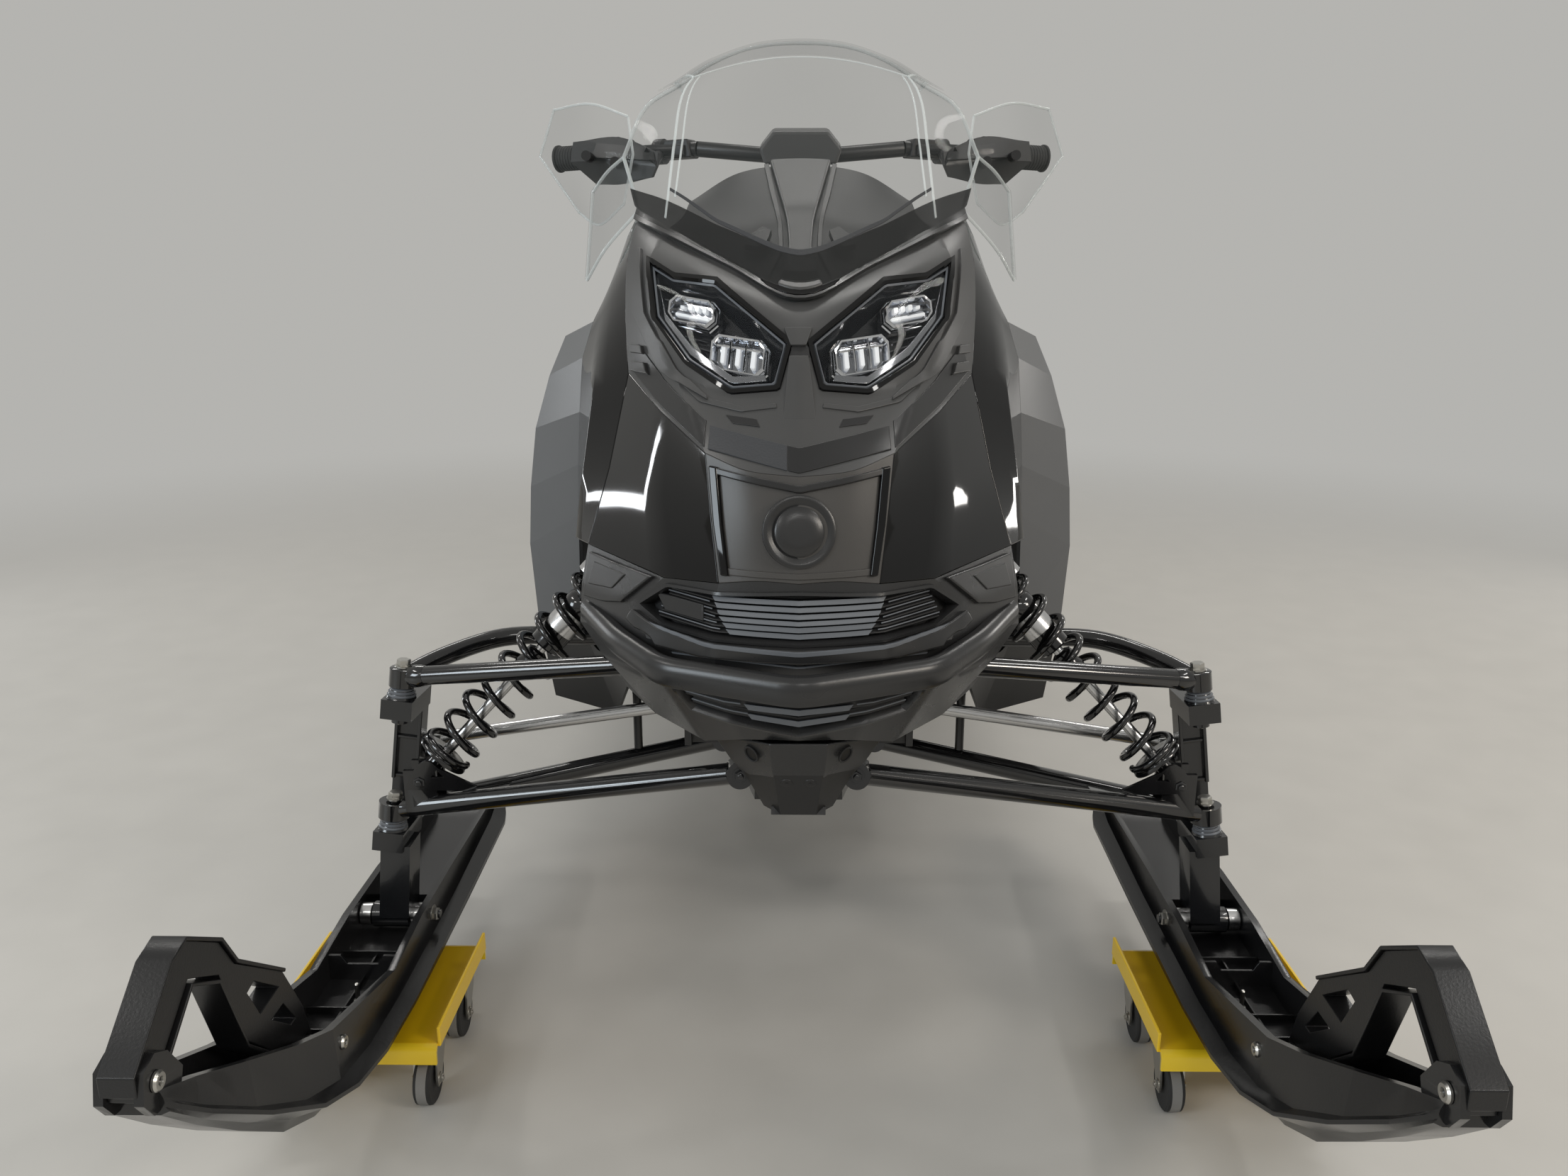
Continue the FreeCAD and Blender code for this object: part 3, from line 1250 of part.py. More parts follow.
def casters(centre_x, middle, width, length):
    solids = []
    top = s.dolly_height - s.tray_thick
    for dx in (-1, 1):
        for dy in (-1, 1):
            x = centre_x + dx * (width / 2 - s.caster_inset)
            stem_y = middle + dy * (length / 2 - s.caster_end_inset)
            axle = Vector(x, stem_y - s.caster_trail, s.caster_radius)
            half = s.caster_width / 2
            plate = box(Vector(x - 18, stem_y - 20, top - 3), Vector(x + 18, stem_y + 20, top))
            hub = Part.makeCylinder(16, 10, Vector(x, stem_y, top - 13))
            cheeks = []
            for side in (-1, 1):
                face = x + side * (half + 1.5)
                low = face if side > 0 else face - 2.5
                ring = [Vector(low, stem_y - 16, top - 13), Vector(low, stem_y + 14, top - 13),
                        Vector(low, axle.y + 9, axle.z - 4), Vector(low, axle.y - 9, axle.z - 4)]
                cheeks.append(prism(ring, Vector(2.5, 0, 0)))
            crown = box(Vector(x - half - 4, stem_y - 16, top - 15.5), Vector(x + half + 4, stem_y + 14, top - 13))
            pin = rod(axle - Vector(half + 6, 0, 0), axle + Vector(half + 6, 0, 0), 4)
            solids.append(fuse([plate, hub, crown, pin] + cheeks))
            tyre = Part.makeCylinder(s.caster_radius, s.caster_width, axle - Vector(half, 0, 0), Vector(1, 0, 0))
            solids.append(tyre.cut(Part.makeCylinder(4 + 0.2, s.caster_width + 4, axle - Vector(half + 2, 0, 0), Vector(1, 0, 0))))
    return solids


def make_running_gear():
    centre = ski_middle()
    shapes = {"ski": make_ski(), "spindle": make_spindle(), "tie_rod": make_tie_rod()}
    for label, shape in shapes.items():
        node(label + "_left", shape)
        node(label + "_right", mirrored(shape))
    loop = make_loop()
    doc.recompute()
    keep("ski_loop_left", loop)
    twin = doc.addObject("Part::Mirroring", "loop_twin")
    twin.Source = loop
    twin.Normal = Vector(1, 0, 0)
    keep("ski_loop_right", twin)
    for side, name in ((1, "left"), (-1, "right")):
        tray = make_tray(s.tray_width, s.tray_length, side * centre, back(s.tray_back), s.tray_lip)
        keep("ski_dolly_" + name, tray)
        node("ski_casters_" + name, casters(side * centre, back(s.tray_back), s.tray_width, s.tray_length))
    middle = back(s.track_tray_back)
    keep("track_dolly", make_tray(s.track_tray_width + 2 * 12, s.track_tray_length, 0 * centre, middle, s.tray_lip))
    node("track_casters", casters(0, middle, s.track_tray_width, s.track_tray_length))


# Steering

def make_steering():
    foot, axis = steering_line()
    head = place(0, s.bar_back, s.bar_up)
    shapes = [rod(foot, head, s.column_radius), box(head + Vector(-42, -20, -22), head + Vector(42, 20, 22))]
    for side in (-1, 1):
        knee = head + Vector(side * 150, 18, 14)
        end = head + Vector(side * s.bar_half_width, s.bar_sweep, 8)
        run = Vector(end - knee).normalize()
        shapes.append(rod(head, knee, s.bar_radius))
        shapes.append(rod(knee, end, s.bar_radius))
        shapes.append(rod(end - run * s.grip_length, end, s.grip_radius))
    node("handlebar", fuse(shapes))
    guard = wall(HAND_GUARD, GUARD_NORMALS, 0, s.panel_thick)
    middle = knee + run * 62
    clamp = collar(middle, run, s.bar_radius + 7, s.bar_radius + FACE_GAP, 14)
    stay = rod(middle - Vector(0, s.bar_radius + 3, 2), place(208, 366, 1055), 7)
    posts = [rod(place(out, 402, height), place(out, reach, height), 7)
             for out, height, reach in ((262, 1056, 352), (306, 1066, 372))]
    screen = wall(HAND_SCREEN, GUARD_NORMALS, 0, s.screen_thick)
    node("hand_guards", both_sides([fuse([guard, clamp, stay] + posts)]))
    holes = [rod(place(out, 402, height), place(out, reach - 20, height), 7 + FACE_GAP)
             for out, height, reach in ((262, 1056, 352), (306, 1066, 372))]
    node("hand_screens", both_sides([screen.cut(holes)]))


make_frame()
make_skid_plate()
make_engine()
make_bodywork()
make_bumper()
make_tunnel()
make_boards()
make_tank()
make_seats()
make_rear()
make_track()
make_rails()
make_wheels()
make_skid_arms()
make_front_suspension()
make_running_gear()
make_steering()

doc.recompute()
for item in doc.Objects:
    if "Invalid" in item.State or "Error" in item.State:
        raise RuntimeError("not built: " + item.Label)
for label, item in nodes.items():
    if item.Shape.isNull() or not item.Shape.isValid():
        raise RuntimeError("bad shape: " + label)
for label, item in nodes.items():
    item.Shape.exportStep("parts/" + label + ".step")
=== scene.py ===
"""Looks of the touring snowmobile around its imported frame. Metres, +Z up, the front faces -Y."""
import math

import bmesh
import bpy
from mathutils import Matrix, Vector
from mathutils.bvhtree import BVHTree


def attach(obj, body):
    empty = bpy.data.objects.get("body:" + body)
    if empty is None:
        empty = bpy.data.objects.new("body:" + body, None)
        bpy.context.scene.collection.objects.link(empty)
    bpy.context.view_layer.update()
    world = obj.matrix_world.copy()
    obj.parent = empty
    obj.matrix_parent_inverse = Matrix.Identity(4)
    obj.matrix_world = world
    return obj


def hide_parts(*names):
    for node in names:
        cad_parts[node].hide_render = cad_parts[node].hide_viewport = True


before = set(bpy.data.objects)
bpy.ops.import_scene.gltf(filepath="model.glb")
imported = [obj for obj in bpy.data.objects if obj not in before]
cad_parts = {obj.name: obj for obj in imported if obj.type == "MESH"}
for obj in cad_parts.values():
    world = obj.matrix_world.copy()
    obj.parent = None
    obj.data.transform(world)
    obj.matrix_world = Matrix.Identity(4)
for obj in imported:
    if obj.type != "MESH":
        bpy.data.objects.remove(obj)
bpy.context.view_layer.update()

BOLT_Y = -0.944
SOLE = 0.095
FORE, OUTER, RISE = Vector((0, -1, 0)), Vector((1, 0, 0)), Vector((0, 0, 1))


def V(x, y, z):
    return Vector((x, y, z)) / 1000


def P(out, back, up):
    """A place given as in the CAD tables: millimetres out, behind the ski bolts, over the sole."""
    return Vector((out / 1000, BOLT_Y + back / 1000, SOLE + up / 1000))


# Camera of the photograph: 2212 by 1659 pixels

FOCAL = 1661.0
WIDTH, HEIGHT = 2212, 1659
SENSOR = 36.0
EYE = Vector((0, BOLT_Y - 1.405, 1.0))
PITCH, YAW = math.radians(15.0), math.radians(0.76)
FORWARD = Vector((-math.sin(YAW) * math.cos(PITCH), math.cos(YAW) * math.cos(PITCH), -math.sin(PITCH)))
RIGHT = Vector((math.cos(YAW), math.sin(YAW), 0))
UPWARD = RIGHT.cross(FORWARD)


def ray(px, py):
    return (FORWARD * FOCAL + RIGHT * (px - WIDTH / 2) - UPWARD * (py - HEIGHT / 2)).normalized()


camera_data = bpy.data.cameras.new("camera")
camera_data.sensor_width = SENSOR
camera_data.lens = FOCAL / WIDTH * SENSOR
camera_data.clip_start = 0.05
camera = bpy.data.objects.new("camera", camera_data)
camera.location = EYE
camera.rotation_mode = "QUATERNION"
camera.rotation_quaternion = Matrix((RIGHT, UPWARD, -FORWARD)).transposed().to_quaternion()
bpy.context.collection.objects.link(camera)
bpy.context.scene.camera = camera
bpy.context.scene.view_settings.view_transform = "Standard"


# Materials

def fill(node, values):
    for key, value in values.items():
        node.inputs[key].default_value = value


def node_maker(made):
    """Functions that add a node to a material and that link two sockets."""
    def add(kind, values=None, **settings):
        node = made.node_tree.nodes.new("ShaderNode" + kind)
        for key, value in settings.items():
            setattr(node, key, value)
        fill(node, values or {})
        return node

    return add, made.node_tree.links.new


def new_material(name):
    made = bpy.data.materials.new(name)
    made.use_nodes = True
    return (made, made.node_tree.nodes["Principled BSDF"], *node_maker(made))


def scaled(colour, factor, added=0.0):
    return (*[min(1, c * factor + added) for c in colour], 1)


def material(name, colour, rough, grain, grain_size, mottle, metal=0.0, coat=0.0, wear=0.0, spec=0.5,
             streak=None):
    """Principled material with mottled colour and roughness, fine grain and lighter worn edges."""
    made, shader, add, link = new_material(name)
    fill(shader, {"Metallic": metal, "Coat Weight": coat, "Coat Roughness": 0.05,
                  "Specular IOR Level": spec})
    place = add("TexCoord").outputs["Object"]
    broad = add("TexNoise", {"Scale": 9.0, "Detail": 5.0})
    link(place, broad.inputs["Vector"])
    mix = add("Mix", {"A": scaled(colour, 1 - mottle), "B": scaled(colour, 1 + mottle)}, data_type="RGBA")
    link(broad.outputs["Fac"], mix.inputs["Factor"])
    result = mix.outputs["Result"]
    if wear:
        ramp = add("ValToRGB")
        ramp.color_ramp.elements[0].position = 0.52
        ramp.color_ramp.elements[1].position = 0.62
        worn = add("Mix", {"B": scaled(colour, 2.2, 0.05)}, data_type="RGBA")
        share = add("Math", {1: wear}, operation="MULTIPLY")
        link(add("NewGeometry").outputs["Pointiness"], ramp.inputs["Fac"])
        link(ramp.outputs["Color"], share.inputs[0])
        link(share.outputs["Value"], worn.inputs["Factor"])
        link(result, worn.inputs["A"])
        result = worn.outputs["Result"]
    link(result, shader.inputs["Base Color"])
    spread = add("MapRange", {"To Min": max(0.02, rough * 0.86), "To Max": min(1.0, rough * 1.14)})
    link(broad.outputs["Fac"], spread.inputs["Value"])
    link(spread.outputs["Result"], shader.inputs["Roughness"])
    if grain:
        fine = add("TexNoise", {"Scale": grain_size, "Detail": 3.0})
        if streak:
            stretch = add("Mapping", {"Scale": streak})
            link(place, stretch.inputs["Vector"])
            place = stretch.outputs["Vector"]
        link(place, fine.inputs["Vector"])
        bump = add("Bump", {"Strength": grain, "Distance": 0.0004})
        link(fine.outputs["Fac"], bump.inputs["Height"])
        link(bump.outputs["Normal"], shader.inputs["Normal"])
    return made


def clear_plastic(name, tint, alpha, glancing, rough=0.03):
    """Thin clear sheet: mostly see-through, with a painted glancing sheen: it grows more opaque in its tint
    towards glancing angles, over a little dust.
    """
    made, shader, add, link = new_material(name)
    fill(shader, {"Base Color": (*tint, 1), "Roughness": rough, "IOR": 1.45})
    dust = add("TexNoise", {"Scale": 14.0, "Detail": 6.0})
    link(add("TexCoord").outputs["Object"], dust.inputs["Vector"])
    # Painted sheen: opacity runs from alpha facing the eye to glancing at grazing angles
    ramp = add("MapRange", {"To Min": alpha, "To Max": glancing})
    link(add("LayerWeight", {"Blend": 0.35}).outputs["Facing"], ramp.inputs["Value"])
    dust_and_sheen_alpha = add("Math", {1: 0.012}, operation="MULTIPLY_ADD")
    link(dust.outputs["Fac"], dust_and_sheen_alpha.inputs[0])
    link(ramp.outputs["Result"], dust_and_sheen_alpha.inputs[2])
    link(dust_and_sheen_alpha.outputs["Value"], shader.inputs["Alpha"])
    return made


SOLID_MATERIALS = (
    # key, name, colour, roughness, strength and size of the grain, mottling, the rest
    ("cowl", "matt_charcoal", (0.046, 0.046, 0.046), 0.38, 0.25, 1400, 0.06, {}),
    ("gloss", "gloss_black", (0.0018, 0.0018, 0.002), 0.045, 0, 0, 0.1, {"spec": 0.36}),
    ("knee", "knee_grey", (0.115, 0.118, 0.122), 0.38, 0.3, 1200, 0.06, {}),
    ("satin", "satin_black", (0.021, 0.021, 0.0215), 0.28, 0.15, 1500, 0.08, {}),
    ("badge", "badge_satin", (0.050, 0.047, 0.044), 0.36, 0.2, 1500, 0.05, {}),
    ("black", "black_plastic", (0.009, 0.009, 0.0095), 0.45, 0.35, 1100, 0.1, {}),
    ("texture", "grained_strip", (0.030, 0.032, 0.036), 0.62, 1.0, 420, 0.2, {}),
    ("slat", "slat_grey", (0.12, 0.13, 0.145), 0.38, 0.12, 1500, 0.05, {}),
    ("steel", "black_coat", (0.006, 0.006, 0.0065), 0.13, 0.06, 500, 0.1, {"coat": 0.6}),
    ("spindle", "spindle_coat", (0.008, 0.0085, 0.0095), 0.22, 0.12, 350, 0.1, {"coat": 0.5}),
    ("dull_steel", "dull_black_coat", (0.013, 0.013, 0.0135), 0.34, 0.3, 400, 0.1, {}),
    ("zinc", "zinc", (0.50, 0.49, 0.46), 0.30, 0.2, 500, 0.12, {"metal": 1.0}),
    ("silver", "satin_silver", (0.62, 0.62, 0.62), 0.24, 0.1, 600, 0.05,
     {"metal": 1.0, "streak": (1, 1, 9)}),
    ("alloy", "mill_alloy", (0.42, 0.43, 0.44), 0.38, 0.2, 300, 0.08, {"metal": 1.0, "streak": (1, 12, 1)}),
    ("rubber", "rubber", (0.016, 0.016, 0.016), 0.72, 0.5, 700, 0.15, {}),
    ("ski", "ski_black", (0.0045, 0.0045, 0.005), 0.21, 0.2, 260, 0.15, {"wear": 0.15}),
    ("loop", "loop_black", (0.0075, 0.0075, 0.008), 0.30, 0.3, 420, 0.1, {}),
    ("guard", "guard_black", (0.011, 0.0115, 0.012), 0.36, 0.3, 900, 0.1, {}),
    ("chamfer", "chamfer_black", (0.012, 0.012, 0.0125), 0.30, 0.1, 1500, 0.06, {}),
    ("yellow", "dolly_yellow", (0.83, 0.52, 0.008), 0.34, 0.3, 160, 0.05, {"coat": 0.3, "wear": 0.15}),
    ("vinyl", "seat_vinyl", (0.018, 0.018, 0.019), 0.55, 0.8, 330, 0.1, {}),
    ("engine", "cast_metal", (0.18, 0.18, 0.185), 0.55, 0.6, 200, 0.15, {"metal": 0.7}),
    ("red", "lamp_red", (0.36, 0.008, 0.010), 0.15, 0, 0, 0.1, {"coat": 0.8}),
    ("tread", "worn_tread", (0.20, 0.195, 0.185), 0.8, 0.7, 350, 0.3, {}),
    ("chrome", "lamp_chrome", (0.85, 0.86, 0.88), 0.07, 0, 0, 0.02, {"metal": 1.0}),
    ("bowl", "lamp_bowl", (0.012, 0.013, 0.015), 0.14, 0, 0, 0.2, {}),
    ("dim_chrome", "lamp_dark_chrome", (0.34, 0.35, 0.37), 0.14, 0, 0, 0.1, {"metal": 1.0}),
)
M = {key: material(*row, **more) for key, *row, more in SOLID_MATERIALS}
M["clear"] = clear_plastic("clear_screen", (0.10, 0.11, 0.11), 0.02, 0.30)
# Pale tint for the clear sheets' edges and bend lines: painted glint, standing in for light caught in the
# plastic
M["edge"] = clear_plastic("screen_edge_painted_glint", (0.80, 0.85, 0.85), 0.30, 0.75)
M["smoke"] = clear_plastic("smoked_screen", (0.012, 0.013, 0.013), 0.70, 0.90, 0.22)
M["lens"] = clear_plastic("lamp_lens", (0.05, 0.055, 0.06), 0.03, 0.30)

LAMP_WHITE = (0.95, 0.97, 1.0, 1)
M["lamp"], lamp_shader, add_node, link_nodes = new_material("lamp_white")
fill(lamp_shader, {"Roughness": 0.2, "Emission Strength": 0.30, "Emission Color": LAMP_WHITE})
lamp_mix = add_node("Mix", {"A": (0.75, 0.78, 0.8, 1), "B": LAMP_WHITE}, data_type="RGBA")
link_nodes(add_node("TexNoise", {"Scale": 220.0}).outputs["Fac"], lamp_mix.inputs["Factor"])
link_nodes(lamp_mix.outputs["Result"], lamp_shader.inputs["Base Color"])


# Mesh helpers: a part is a pair of vertices and faces

def raw_object(name, part):
    mesh = bpy.data.meshes.new(name)
    mesh.from_pydata([tuple(v) for v in part[0]], [], part[1])
    obj = bpy.data.objects.new(name, mesh)
    bpy.context.collection.objects.link(obj)
    return obj


def dropped(obj):
    """Remove a helper object with its mesh."""
    mesh = obj.data
    bpy.data.objects.remove(obj)
    bpy.data.meshes.remove(mesh)


def reworked(mesh, gap=0.0, flat=0.0, outward=True):
    """Join points closer than gap and faces flatter than flat, and turn the faces outwards."""
    work = bmesh.new()
    work.from_mesh(mesh)
    if gap:
        bmesh.ops.remove_doubles(work, verts=work.verts, dist=gap)
    if flat:
        bmesh.ops.dissolve_limit(work, angle_limit=flat, verts=work.verts, edges=work.edges)
    if outward:
        bmesh.ops.recalc_face_normals(work, faces=work.faces)
    work.to_mesh(mesh)
    work.free()


def finish_object(obj, mat, body, sharp, bevel, segments):
    obj.data.materials.clear()
    obj.data.materials.append(M[mat])
    if bevel:
        edge = obj.modifiers.new("edge", "BEVEL")
        edge.width = bevel
        edge.segments = segments
        edge.limit_method = "ANGLE"
        edge.angle_limit = math.radians(sharp)
        edge.harden_normals = True
    obj.data.shade_smooth()
    obj.data.set_sharp_from_angle(angle=math.radians(sharp))
    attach(obj, body)
    return obj


def new_object(name, part, mat, body="machine", sharp=35, bevel=0.0, segments=2):
    obj = raw_object(name, part)
    reworked(obj.data, gap=1e-5)
    return finish_object(obj, mat, body, sharp, bevel, segments)


def stands_for(obj, node):
    """The piece takes a CAD node's place: the node is hidden."""
    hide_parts(node)


def copy_node(node, name, mat, body, sharp=30, bevel=0.0012, segments=2):
    """A CAD node's own mesh as a new piece in that node's place, with rounded edges."""
    obj = bpy.data.objects.new(name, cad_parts[node].data.copy())
    bpy.context.collection.objects.link(obj)
    reworked(obj.data, gap=2e-5, flat=math.radians(1.0), outward=False)
    finish_object(obj, mat, body, sharp, bevel, segments)
    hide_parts(node)


def along(points, steps, breaks=()):
    """Smooth curve through points; it keeps a corner at each index in breaks."""
    count = len(points)

    def slope(i, side):
        if i == 0 or i == count - 1 or i in breaks:
            j = i + side if 0 <= i + side < count else i - side
            return (points[j] - points[i]) * (1 if j > i else -1)
        before, after = points[i] - points[i - 1], points[i + 1] - points[i]
        total = before.length + after.length
        if total < 1e-9:
            return Vector()
        return (before * after.length + after * before.length) / total

    made = []
    for i, t in [(i, k / steps) for i in range(count - 1) for k in range(steps)] + [(count - 2, 1.0)]:
        a, b = points[i], points[i + 1]
        run = (b - a).length
        before = (a - points[i - 1]).length if i > 0 else run
        after = (points[i + 2] - b).length if i + 2 < count else run
        sa, sb = slope(i, 1), slope(i + 1, -1)
        if i > 0 and i not in breaks and before + run > 0:
            sa = sa * (run / max((before + run) / 2, 1e-9))
        if i + 2 < count and i + 1 not in breaks:
            sb = sb * (run / max((after + run) / 2, 1e-9))
        t2, t3 = t * t, t * t * t
        made.append(a * (2 * t3 - 3 * t2 + 1) + sa * (t3 - 2 * t2 + t)
                    + b * (3 * t2 - 2 * t3) + sb * (t3 - t2))
    return made


def dense(grid, steps_down, steps_across, row_breaks=(), column_breaks=()):
    rows = [along(row, steps_across, column_breaks) for row in grid]
    columns = [along([row[j] for row in rows], steps_down, row_breaks) for j in range(len(rows[0]))]
    return [[column[i] for column in columns] for i in range(len(columns[0]))]


def grid_mesh(grid):
    width = len(grid[0])
    faces = [(i * width + j, i * width + j + 1, (i + 1) * width + j + 1, (i + 1) * width + j)
             for i in range(len(grid) - 1) for j in range(width - 1)]
    return [point for row in grid for point in row], faces


def flip(point):
    return Vector((-point.x, point.y, point.z))


def whole(grid):
    return [[flip(point) for point in reversed(row[1:])] + row for row in grid]


def loft(rings, caps=True):
    """Closed rings of points joined into a skin, with a face over each end where asked."""
    n = len(rings[0])
    verts = [point for ring in rings for point in ring]
    faces = [(i * n + k, i * n + (k + 1) % n, (i + 1) * n + (k + 1) % n, (i + 1) * n + k)
             for i in range(len(rings) - 1) for k in range(n)]
    if caps:
        faces += [tuple(reversed(range(n))), tuple(range(len(verts) - n, len(verts)))]
    return verts, faces


def circle(centre, side, other, radius, sides, start=0.0, squash=1.0):
    angles = [2 * math.pi * (k + start) / sides for k in range(sides)]
    return [centre + side * (radius * math.cos(a)) + other * (radius * squash * math.sin(a))
            for a in angles]


def run_at(line, i):
    """Direction of a polyline at one of its points."""
    return (line[min(i + 1, len(line) - 1)] - line[max(i - 1, 0)]).normalized()


def tube_mesh(points, radius, sides=16, squash=1.0):
    """Round tube along a polyline; radius may be one number or one for each point."""
    radii = radius if isinstance(radius, list) else [radius] * len(points)
    rings, normal = [], None
    for i, point in enumerate(points):
        run = run_at(points, i)
        if normal is None:
            normal = run.cross(RISE)
            if normal.length < 0.1:
                normal = run.cross(-FORE)
            normal.normalize()
        normal = (normal - run * normal.dot(run)).normalized()
        rings.append(circle(point, normal, run.cross(normal), radii[i], sides, squash=squash))
    return loft(rings)


def turned(points, sides, centre, axis):
    """Solid of revolution round centre: pairs of radius and distance along the axis in millimetres."""
    axis = axis.normalized()
    side = axis.cross(RISE)
    if side.length < 0.1:
        side = axis.cross(OUTER)
    side.normalize()
    return loft([circle(centre + axis * (distance / 1000), side, axis.cross(side), radius / 1000, sides,
                        0.5)
                 for radius, distance in points])


def joined(parts):
    verts, faces = [], []
    for part_verts, part_faces in parts:
        base = len(verts)
        verts += list(part_verts)
        faces += [tuple(base + i for i in face) for face in part_faces]
    return verts, faces


def reversed_faces(part):
    return part[0], [tuple(reversed(face)) for face in part[1]]


def flipped(part):
    return reversed_faces(([flip(v) for v in part[0]], part[1]))


def both(part):
    return joined([part, flipped(part)])


def prism(points, direction):
    count = len(points)
    faces = [tuple(range(count)), tuple(reversed(range(count, 2 * count)))]
    faces += [(i, i + count, (i + 1) % count + count, (i + 1) % count) for i in range(count)]
    return list(points) + [point + direction for point in points], faces


def hex_bolt(centre, axis, radius, height):
    """Hexagon head on a washer with a short stud end; radius and height in millimetres."""
    head = [(radius * 0.96, height * 0.2), (radius, height * 0.3), (radius, height * 0.9),
            (radius * 0.88, height)]
    stud = [(radius * 0.5, height * 0.9), (radius * 0.5, height * 1.3), (radius * 0.42, height * 1.36)]
    washer = [(radius * 1.35, 0), (radius * 1.35, height * 0.22)]
    return joined([turned(washer, 20, centre, axis), turned(head, 6, centre, axis),
                   turned(stud, 14, centre, axis)])


def shell(name, part, mat, body="machine", thick=0.006, cutters=(), bevel=0.0012, sharp=28, segments=2,
          even=True):
    """Panel of one thickness, cut by closed solids, with rounded edges."""
    obj = raw_object(name, part)
    wall = obj.modifiers.new("wall", "SOLIDIFY")
    wall.thickness = thick
    wall.offset = -1
    wall.use_even_offset = even
    tools = [raw_object(name + "_cut", tool) for tool in cutters]
    for tool in tools:
        reworked(tool.data)
        cut = obj.modifiers.new("cut", "BOOLEAN")
        cut.operation = "DIFFERENCE"
        cut.solver = "EXACT"
        cut.object = tool
    bpy.context.view_layer.update()
    made = bpy.data.meshes.new_from_object(obj.evaluated_get(bpy.context.evaluated_depsgraph_get()))
    old = obj.data
    obj.modifiers.clear()
    obj.data = made
    bpy.data.meshes.remove(old)
    for tool in tools:
        dropped(tool)
    return finish_object(obj, mat, body, sharp, bevel, segments)


# Panel corners, the same as in the CAD source

CORNERS = {
    # name: out, back, height over 750. Letters run outwards and numbers run down.
    "a0": (0, -95, 130), "b0": (80, -30, 163), "c0": (157, 45, 205), "d0": (197, 108, 229),
    "a1": (0, -128, 103), "b1": (88, -78, 143), "c1": (172, -14, 167), "d1": (207, 58, 171),
    "a2": (0, -157, 76), "b2": (90, -118, 90), "c2": (164, -58, 107), "d2": (206, 18, 108),
    "a3": (0, -197, 35), "b3": (74, -170, 34), "c3": (136, -112, 50), "d3": (198, -28, 43),
    "a4": (0, -270, -37), "b4": (52, -262, -32), "c4": (94, -240, -18), "d4": (150, -136, 12),
    "a5": (0, -283, -86), "b5": (46, -276, -83), "c5": (88, -258, -78), "e5": (155, -178, -70),
    "a6": (0, -295, -139), "b6": (40, -288, -138), "c6": (80, -277, -143), "e6": (140, -228, -150),
    "a7": (0, -298, -180), "b7": (42, -292, -180), "c7": (85, -283, -180), "e7": (176, -196, -184),
    "a8": (0, -292, -220), "b8": (42, -288, -219), "c8": (85, -280, -218), "e8": (160, -228, -215),
    "a9": (0, -284, -270), "b9": (40, -279, -269), "c9": (80, -271, -268), "e9": (142, -236, -265),
    "a10": (0, -240, -325), "b10": (30, -233, -327), "c10": (60, -225, -330), "e10": (104, -190, -346),
    "f5": (219, -62, -62), "f6": (242, -90, -146), "f7": (250, -98, -190), "f8": (253, -102, -235),
    "f9": (225, -120, -270), "f10": (170, -96, -350),
    "g0": (215, 125, 200), "g1": (238, 95, 130), "g2": (242, 50, 75), "g3": (247, 10, 20),
    "g5": (258, -18, -70), "g6": (266, -40, -150),
    "h0": (232, 150, 155), "h1": (262, 118, 95), "h2": (278, 122, 50), "h3": (286, 128, -20),
    "h5": (292, 134, -90), "h6": (296, 140, -160),
    # Console and clear screens
    "o0": (0, 215, 290), "o1": (80, 205, 280), "o2": (143, 180, 242),
    "p0": (0, 60, 208), "p1": (70, 82, 212), "p2": (146, 118, 222),
    "w0": (0, 190, 431), "w1": (60, 184, 425), "w2": (108, 172, 406), "w3": (150, 170, 380),
    "x0": (0, 165, 400), "x1": (75, 160, 390), "x2": (141, 148, 368), "x3": (192, 165, 354),
    "y0": (0, 65, 292), "y1": (82, 88, 292), "y2": (152, 112, 296), "y3": (221, 155, 294),
    "y4": (247, 190, 280), "y5": (274, 232, 258), "z4": (250, 170, 185), "z5": (288, 240, 145),
    # Hand guards and their clear screens
    "ga": (202, 365, 320), "gb": (262, 398, 344), "gc": (334, 430, 340),
    "gd": (204, 360, 302), "ge": (266, 388, 312), "gf": (338, 424, 312),
    "gg": (212, 366, 286), "gh": (262, 390, 278), "gi": (300, 420, 280),
    "sa": (244, 372, 368), "sb": (300, 400, 388), "sc": (363, 446, 386),
    "sd": (236, 352, 316), "se": (304, 384, 322), "sf": (387, 446, 321),
    "sg": (252, 362, 250), "sh": (292, 382, 222), "si": (326, 414, 240),
}


COWL = ("a0 b0 c0 d0", "a1 b1 c1 d1", "a2 b2 c2 d2", "a3 b3 c3 d3", "a4 b4 c4 d4")
BADGE = ("a4 b4 c4", "a5 b5 c5", "a6 b6 c6")
CHEEK = ("c4 d4 d3", "c5 e5 f5", "c6 e6 f6")
SIDE_PANEL = ("d0 g0 h0", "d1 g1 h1", "d2 g2 h2", "d3 g3 h3", "f5 g5 h5", "f6 g6 h6")
FASCIA = ("a6 b6 c6 e6 f6", "a7 b7 c7 e7 f7", "a8 b8 c8 e8 f8", "a9 b9 c9 e9 f9", "a10 b10 c10 e10 f10")
CONSOLE = ("o0 o1 o2", "p0 p1 p2", "a0 b0 c0")
SCREEN = ("w0 w1 w2 w3", "x0 x1 x2 x3", "y0 y1 y2 y3", "a0 b0 c0 d0", "lap_a lap_b lap_c lap_d")
DEFLECTOR = ("y3 y4 y5", "d0 z4 z5")
HAND_GUARD = ("ga gb gc", "gd ge gf", "gg gh gi")
HAND_SCREEN = ("sa sb sc", "sd se sf", "sg sh si")

